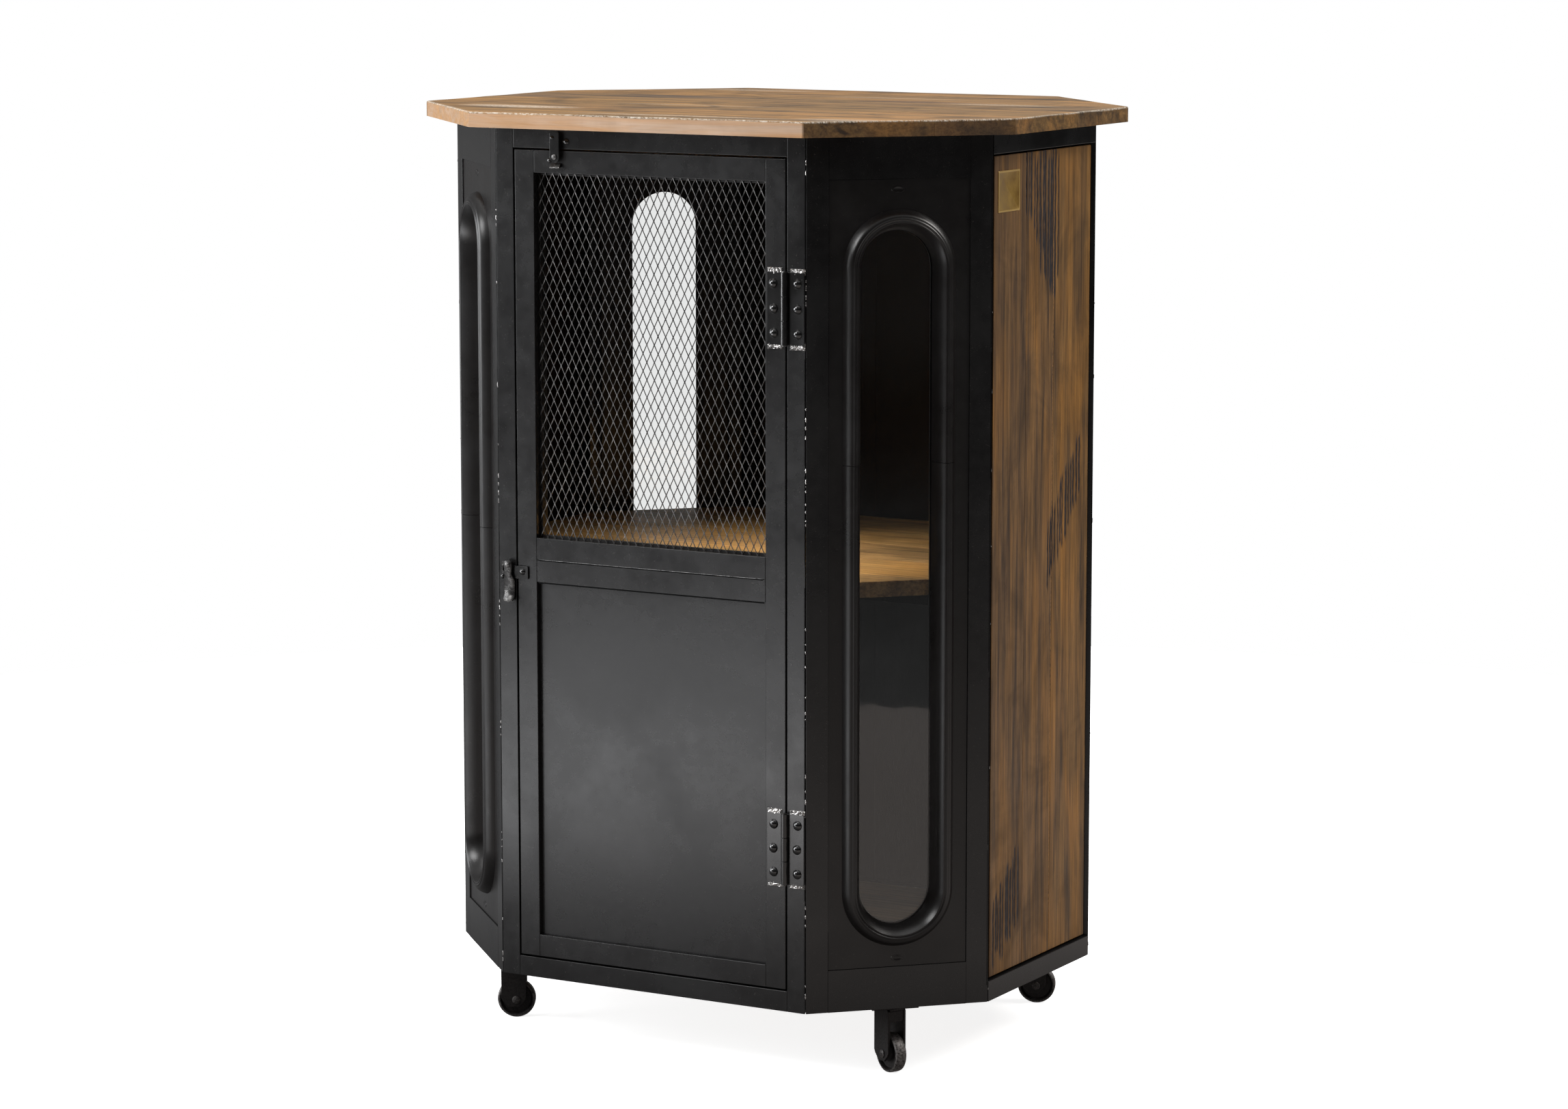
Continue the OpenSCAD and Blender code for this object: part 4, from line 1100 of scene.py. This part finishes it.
def build_side_latch():
    """A hanging lever on a strap that reaches over the gap from the door, beside a small loop."""
    pivot = Vector(JOINTS["side_latch_turn"]["pos_m"])
    strap = Shape()
    low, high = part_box("side_latch_strap")
    back = high.y - 0.4 * MM
    strap.prism(rounded(low.x + 1.6 * MM, low.z, high.x, low.z + 15 * MM, 1.6 * MM), low.y, back, "y")
    strap.prism(arc(pivot.x, pivot.z, 4 * MM, 0, 345, 22), low.y, back, "y")
    pad = rounded(high.x - 13 * MM, low.z + 0.8 * MM, high.x - 0.8 * MM, low.z + 14.2 * MM, 1 * MM)
    strap.prism(pad, back - 0.1 * MM, high.y, "y")
    piece("latch_strap", strap, M_HINGE, "door", ["side_latch_strap"], bevel=0.4 * MM)

    keeper = Shape()
    low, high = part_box("side_latch_keeper")
    hole = rounded(low.x + 1.0 * MM, low.z + 3.4 * MM, high.x - 0.9 * MM, low.z + 9.4 * MM, 0.9 * MM)
    rim = rounded(low.x, low.z, high.x, high.z, 1.8 * MM)
    sections = ((rim, high.y), (rim, low.y), (hole, low.y), (hole, high.y))
    keeper.loft([[(x, y, z) for x, z in ring] for ring, y in sections], wrap=True)
    piece("latch_keeper", keeper, M_LATCH, "cabinet", ["side_latch_keeper"], bevel=0.25 * MM)

    lever = Shape()
    low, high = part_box("side_latch_lever")
    step, soft, thick = 2.2 * MM, 0.5 * MM, LATCH_THICK
    # Stations down the lever: height from the pivot, half width, sideways shift, and depth of its back
    stations = [
        (6.0, 1.2, 0.2, 0.0), (5.6, 3.2, 0.2, 0.0), (4.2, 4.9, 0.2, 0.0), (1.5, 5.7, 0.1, 0.0), (-3.0, 5.5, 0, 0.0),
        (-7.5, 4.9, 0.1, 0.0), (-11.0, 5.0, 0.4, 0.1), (-14.0, 5.9, 0.8, 0.3), (-17.5, 7.2, 1.0, 0.75),
        (-20.5, 7.3, 1.0, 1.0), (-27.0, 7.2, 1.0, 1.0), (-33.5, 7.1, 1.0, 1.0), (-36.0, 7.2, 1.0, 0.75),
        (-39.0, 7.4, 1.0, -0.1), (-41.6, 6.2, 1.1, -0.75), (-43.3, 2.0, 1.3, -0.95),
    ]
    rings = []
    for height, half, aside, deep in stations:
        depth = high.y - step + (step if deep >= 0 else 1.9 * MM) * deep
        x0, x1 = pivot.x + (aside - half) * MM, pivot.x + (aside + half) * MM
        z = pivot.z + height * MM
        rings.append([
            (x0 + soft, depth - thick, z), (x1 - soft, depth - thick, z), (x1, depth - thick + soft, z),
            (x1, depth - soft, z), (x1 - soft, depth, z), (x0 + soft, depth, z), (x0, depth - soft, z),
            (x0, depth - thick + soft, z),
        ])
    lever.loft(rings)
    piece("hanging_lever", lever, M_LATCH, "side_latch", ["side_latch_lever"], crease=50)


def build_top_latch():
    """An arm that stands up over the top rail, its bracket and its pins."""
    low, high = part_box("top_latch_arm")
    pivot = Vector(JOINTS["top_latch_turn"]["pos_m"])
    arm = Shape()
    radius = (high.x - low.x) / 2
    outline = arc(pivot.x, pivot.z, radius, 180, 360, 16)
    outline += [(high.x, high.z - 1.5 * MM), (high.x - 1.2 * MM, high.z)]
    outline += [(low.x + 1.8 * MM, high.z), (low.x, high.z - 2.0 * MM)]
    arm.prism(outline, high.y - LATCH_THICK, high.y, "y")
    arm.turned(dome(2.6 * MM, 1.9 * MM), outward(pivot.x - 2.8 * MM, high.y - LATCH_THICK, pivot.z + 22 * MM), 18)
    piece("standing_arm", arm, M_HINGE, "top_latch", ["top_latch_arm"], bevel=0.35 * MM)

    hook = Shape()
    low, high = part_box("top_latch_hook")
    side = [
        (high.y, low.z + 2 * MM), (high.y, high.z), (high.y - 1.6 * MM, high.z), (low.y + 0.6 * MM, low.z + 2.4 * MM),
        (low.y, low.z + 1.2 * MM), (low.y, low.z),
    ]
    hook.prism(side, low.x, high.x, "x")
    piece("hook_bracket", hook, M_LATCH, "door", ["top_latch_hook"], bevel=0.4 * MM)

    pins = Shape()
    lever_front, arm_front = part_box("side_latch_lever")[1].y - 4.4 * MM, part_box("top_latch_arm")[1].y - LATCH_THICK
    for at, front in ((Vector(JOINTS["side_latch_turn"]["pos_m"]), lever_front), (pivot, arm_front)):
        head = [(1.9 * MM, 0.0), (3.0 * MM, 0.1 * MM), (3.1 * MM, 0.7 * MM), (2.3 * MM, 1.2 * MM), (POLE, 1.3 * MM)]
        deep = FRONT_Y - front
        pins.turned([(POLE, -deep), (1.9 * MM, -deep)] + head, outward(at.x, front - 0.15 * MM, at.z), 18)
    piece("latch_pins", pins, M_BRIGHT, "door", ["latch_pivots"], crease=50)


# ---- Name plate ----


def build_plate():
    """A blank plate with a raised rim."""
    matrix = face_matrix(RIGHT)
    low, high = local_box("blank_plate", matrix)
    # From the back over the rim to the field inside it: inset, depth, and 1 on the raised rim
    stations = [
        (0, high.y, 0.0), (0, low.y + 0.3 * MM, 1.0), (0.3 * MM, low.y, 1.0), (1.8 * MM, low.y, 1.0),
        (2.3 * MM, low.y + 0.35 * MM, 0.0),
    ]
    rings = []
    for inset, depth, _ in stations:
        outline = rounded(low.x + inset, low.z + inset, high.x - inset, high.z - inset, 1.2 * MM)
        rings.append([(x, depth, z) for x, z in outline])
    shape = Shape()
    shape.loft(rings)
    shape.values["raised"] = [raised for _, _, raised in stations for _ in rings[0]]
    piece("blank_brass_plate", shape, M_BRASS, "cabinet", ["blank_plate"], matrix)


# ---- Casters ----


FORK_THICK = 3 * MM
WHEEL_STEPS = 56


def build_caster(corner):
    matrix = caster_matrix(corner)
    fork_low, fork_high = local_box(corner + "_fork", matrix)
    wheel_low, wheel_high = local_box(corner + "_wheel", matrix)
    reach = local_box(corner + "_axle", matrix)[1].x
    thick = FORK_THICK
    body = corner + "_swivel"
    axle_y = (wheel_low.y + wheel_high.y) / 2
    radius = (wheel_high.z - wheel_low.z) / 2
    top = local_box("caster_plates", Matrix())[0].z - 2 * MM

    fork = Shape()
    y0, y1, foot = fork_low.y, fork_high.y, fork_low.z
    leg = [(y0 + 9 * MM, foot), (y1 - 9 * MM, foot), (y1 - 2 * MM, foot + 7 * MM), (y1, foot + 11 * MM)]
    leg += [(y1, top - 3 * MM), (y1 - 3 * MM, top), (y0 + 3 * MM, top), (y0, top - 3 * MM)]
    leg += [(y0, foot + 11 * MM), (y0 + 2 * MM, foot + 7 * MM)]
    for x in (fork_low.x, fork_high.x - thick):
        fork.prism(leg, x, x + thick, "x")
    fork.block((fork_low.x + thick, y0, top - thick), (fork_high.x - thick, y1, top))
    fork.block((fork_low.x + thick, y0 + 1 * MM, top - 16 * MM), (fork_high.x - thick, y0 + 4 * MM, top - thick))
    pin = [(POLE, top - thick), (4.95 * MM, top - thick), (4.95 * MM, fork_high.z - 6 * MM)]
    pin += [(7.4 * MM, fork_high.z - 6 * MM), (7.6 * MM, fork_high.z - 1 * MM)]
    pin += [(6.6 * MM, fork_high.z), (POLE, fork_high.z)]
    fork.turned(pin, Matrix(), 18)
    fork.values["worn"] = [0.0] * len(fork.points)
    piece(corner + "_caster_fork", fork, M_IRON, body, [corner + "_fork"], matrix, bevel=0.6 * MM)

    wheel = Shape()
    half = (wheel_high.x - wheel_low.x) / 2
    tread = 7 * MM
    bore = 3.1 * MM
    profile = [
        (bore, -half), (7.4 * MM, -half), (8 * MM, -half + 0.6 * MM), (9.5 * MM, -3.6 * MM),
        (radius - 5.5 * MM, -3.4 * MM), (radius - 4 * MM, -tread + 0.6 * MM),
        (radius - 3.4 * MM, -tread), (radius - 1.6 * MM, -tread),
        (radius - 0.6 * MM, -tread + 0.7 * MM), (radius - 0.12 * MM, -tread + 2.2 * MM), (radius, -tread / 3),
    ]
    profile = mirrored(profile)
    turn = Matrix.Translation((0, axle_y, radius)) @ Matrix.Rotation(math.pi / 2, 4, "Y")
    wheel.turned(profile, turn, WHEEL_STEPS, wrap=True)
    wheel.values["worn"] = [1.0 if r > radius - 2 * MM else 0.0 for r, _ in profile for _ in range(WHEEL_STEPS)]
    roller = corner + "_roller"
    piece(corner + "_caster_wheel", wheel, M_IRON, roller, [corner + "_wheel"], matrix, crease=40)

    axle = Shape()
    cap = [(POLE, -reach), (3.4 * MM, -reach), (4.9 * MM, -reach + 0.9 * MM)]
    cap += [(4.9 * MM, -reach + 2 * MM), (2.95 * MM, -reach + 2 * MM)]
    axle.turned(mirrored(cap), turn, 20)
    axle.values["worn"] = [0.4] * len(axle.points)
    piece(corner + "_axle_pin", axle, M_IRON, body, [corner + "_axle"], matrix, crease=50)


# ---- Stage ----


def area_light(name, place, target, size, power, colour=(1, 1, 1), spread=180):
    data = bpy.data.lights.new(name, "AREA")
    data.shape = "RECTANGLE"
    data.size, data.size_y = size
    data.energy = power
    data.color = colour
    data.spread = math.radians(spread)
    lamp = add_object(name, data)
    lamp.location = place
    lamp.rotation_euler = (Vector(target) - Vector(place)).to_track_quat("-Z", "Y").to_euler()
    lamp.visible_camera = False


FLOOR_RADIUS = 2.68
TOP_INSIDE = BASE_Z + BODY_H - 0.01
# Where the key light's pool lies on the floor
POOL = (-1.0, -1.9, 0)
POOL_GLOW = 6.5
FLOOR_GLOW_LEFT = 0.25
FLOOR_GLOW_RIGHT = 0.6


def make_floor():
    """A round pale sheet of paper, white to the eye, that in the reflections glows with its own painted pool of light
    and painted shade round the cabinet.
    """
    steps = 96
    mesh = bpy.data.meshes.new("floor")
    rings = [0.5, 1.0, 1.7, FLOOR_RADIUS]
    turns = [2 * math.pi * k / steps for k in range(steps)]
    points = [(0, 0, 0)] + [(r * math.cos(t), r * math.sin(t), 0) for r in rings for t in turns]
    faces = [(0, 1 + k, 1 + (k + 1) % steps) for k in range(steps)]
    for ring in range(len(rings) - 1):
        first = 1 + ring * steps
        faces += [
            (first + k, first + steps + k, first + steps + (k + 1) % steps, first + (k + 1) % steps)
            for k in range(steps)
        ]
    mesh.from_pydata(points, [], faces)
    s = Surface("floor_paper", Roughness=0.8)
    paper = s.noise(3, 2, 0.5)
    away = s.node("ShaderNodeVectorMath", {0: s.place}, operation="LENGTH").outputs["Value"]
    s.colour(s.mix(s.between(paper, 0.3, 0.7), (0.82, 0.82, 0.82), (0.86, 0.86, 0.86)))
    s.put(s.shader.inputs["Emission Color"], (1.0, 1.0, 1.0))
    s.put(s.shader.inputs["Emission Strength"], s.between(away, 0.45, 1.2, 0.85, 1.15))
    from_pool = s.node("ShaderNodeVectorMath", {0: s.place, 1: POOL}, operation="DISTANCE").outputs["Value"]
    pool = s.between(from_pool, 1.05, 0.0, 0, POOL_GLOW)
    left = s.node("ShaderNodeSeparateXYZ", {"Vector": s.place}).outputs["X"]
    plain = s.between(left, -0.6, 0.4, FLOOR_GLOW_LEFT, FLOOR_GLOW_RIGHT)
    # Painted shade: in the reflections the floor's glow drops to a quarter close round the cabinet.
    near = s.between(away, 0.42, 0.95, 0.25, 1)
    tint = s.mix(s.between(left, -0.9, 0.5), (0.97, 0.98, 1.0), (1.0, 0.91, 0.86))
    level = s.math("MULTIPLY", s.math("ADD", pool, plain), near)
    seen = s.node("ShaderNodeEmission", {"Color": tint, "Strength": level})
    path = s.node("ShaderNodeLightPath").outputs["Is Camera Ray"]
    both = s.node("ShaderNodeMixShader", {0: path, 1: seen.outputs[0], 2: s.shader.outputs[0]})
    s.put(s.tree.nodes["Material Output"].inputs["Surface"], both.outputs[0])
    mesh.materials.append(s.material)
    floor = add_object("floor", mesh)


def make_world():
    """White behind the object, and around it a dim studio with a little more light on the left."""
    world = bpy.data.worlds.new("studio")
    world.use_nodes = True
    bpy.context.scene.world = world
    world.node_tree.nodes.clear()
    s = Nodes(world.node_tree)
    ray = s.node("ShaderNodeTexCoord").outputs["Generated"]

    def along(direction, *levels):
        """A level that follows how far a ray points along a direction."""
        inputs = {0: ray, 1: Vector(direction).normalized()}
        dot = s.node("ShaderNodeVectorMath", inputs, operation="DOT_PRODUCT").outputs["Value"]
        return s.between(dot, *levels, interpolation_type="SMOOTHSTEP")

    side = along((-0.93, 0.3, 0.1), -0.2, 0.9, 0.015, 0.16)
    front = along((-0.85, -0.53, 0.0), 0.8, 1.0, 0.0, 0.16)
    low = along((0, 0, 1), -0.19, -0.12, 0.2, 0.0)
    high = along((0, 0, 1), 0.35, 0.95, 0.0, 0.5)
    back = along((-0.15, 0.98, 0), 0.86, 0.98, 0.0, 0.3)
    strength = s.math("ADD", s.math("ADD", s.math("ADD", side, front), s.math("ADD", low, high)), back)
    around = s.node("ShaderNodeBackground", {"Color": (1, 1, 1), "Strength": strength}).outputs[0]
    behind = s.node("ShaderNodeBackground", {"Color": (1, 1, 1)}).outputs[0]
    path = s.node("ShaderNodeLightPath").outputs["Is Camera Ray"]
    both = s.node("ShaderNodeMixShader", {0: path, 1: around, 2: behind}).outputs[0]
    s.node("ShaderNodeOutputWorld", {"Surface": both})


def make_lights():
    area_light("key", (-3.7, -2.1, 1.55), (0, 0, 0.85), (2.4, 2.5), 150, (0.96, 0.98, 1.0))
    area_light("high_key", (-1.8, -3.4, 3.6), (0, 0, 0.8), (1.6, 1.6), 90)
    area_light("overhead", (-0.3, 0.4, 3.6), (0, 0, 1.0), (3.0, 3.0), 62)
    area_light("right_fill", (2.9, 1.2, 3.0), (0.3, 0, 0.5), (1.4, 1.4), 75, (1, 0.97, 0.93))
    area_light("shelf_glow", (0.05, -0.14, TOP_INSIDE), (0.05, -0.14, 0.6), (0.3, 0.15), 0.7, (1, 0.88, 0.66), 60)


build_top()
build_side_planks()
build_shelf()
build_frame()
build_frame_welds()
build_panel_filler()
for corner in CORNERS:
    build_moulding(corner)
    build_window_details(corner)
    build_caster(corner)
build_mesh()
build_door_sheet()
build_door_welds()
build_hinges()
build_rivets()
build_hinge_welds()
build_side_latch()
build_top_latch()
build_plate()
dress("caster_plates", M_IRON, 0.5 * MM)
dress("top_screws", M_BRIGHT)
make_floor()
make_world()
make_lights()
bpy.context.scene.view_settings.view_transform = "Standard"
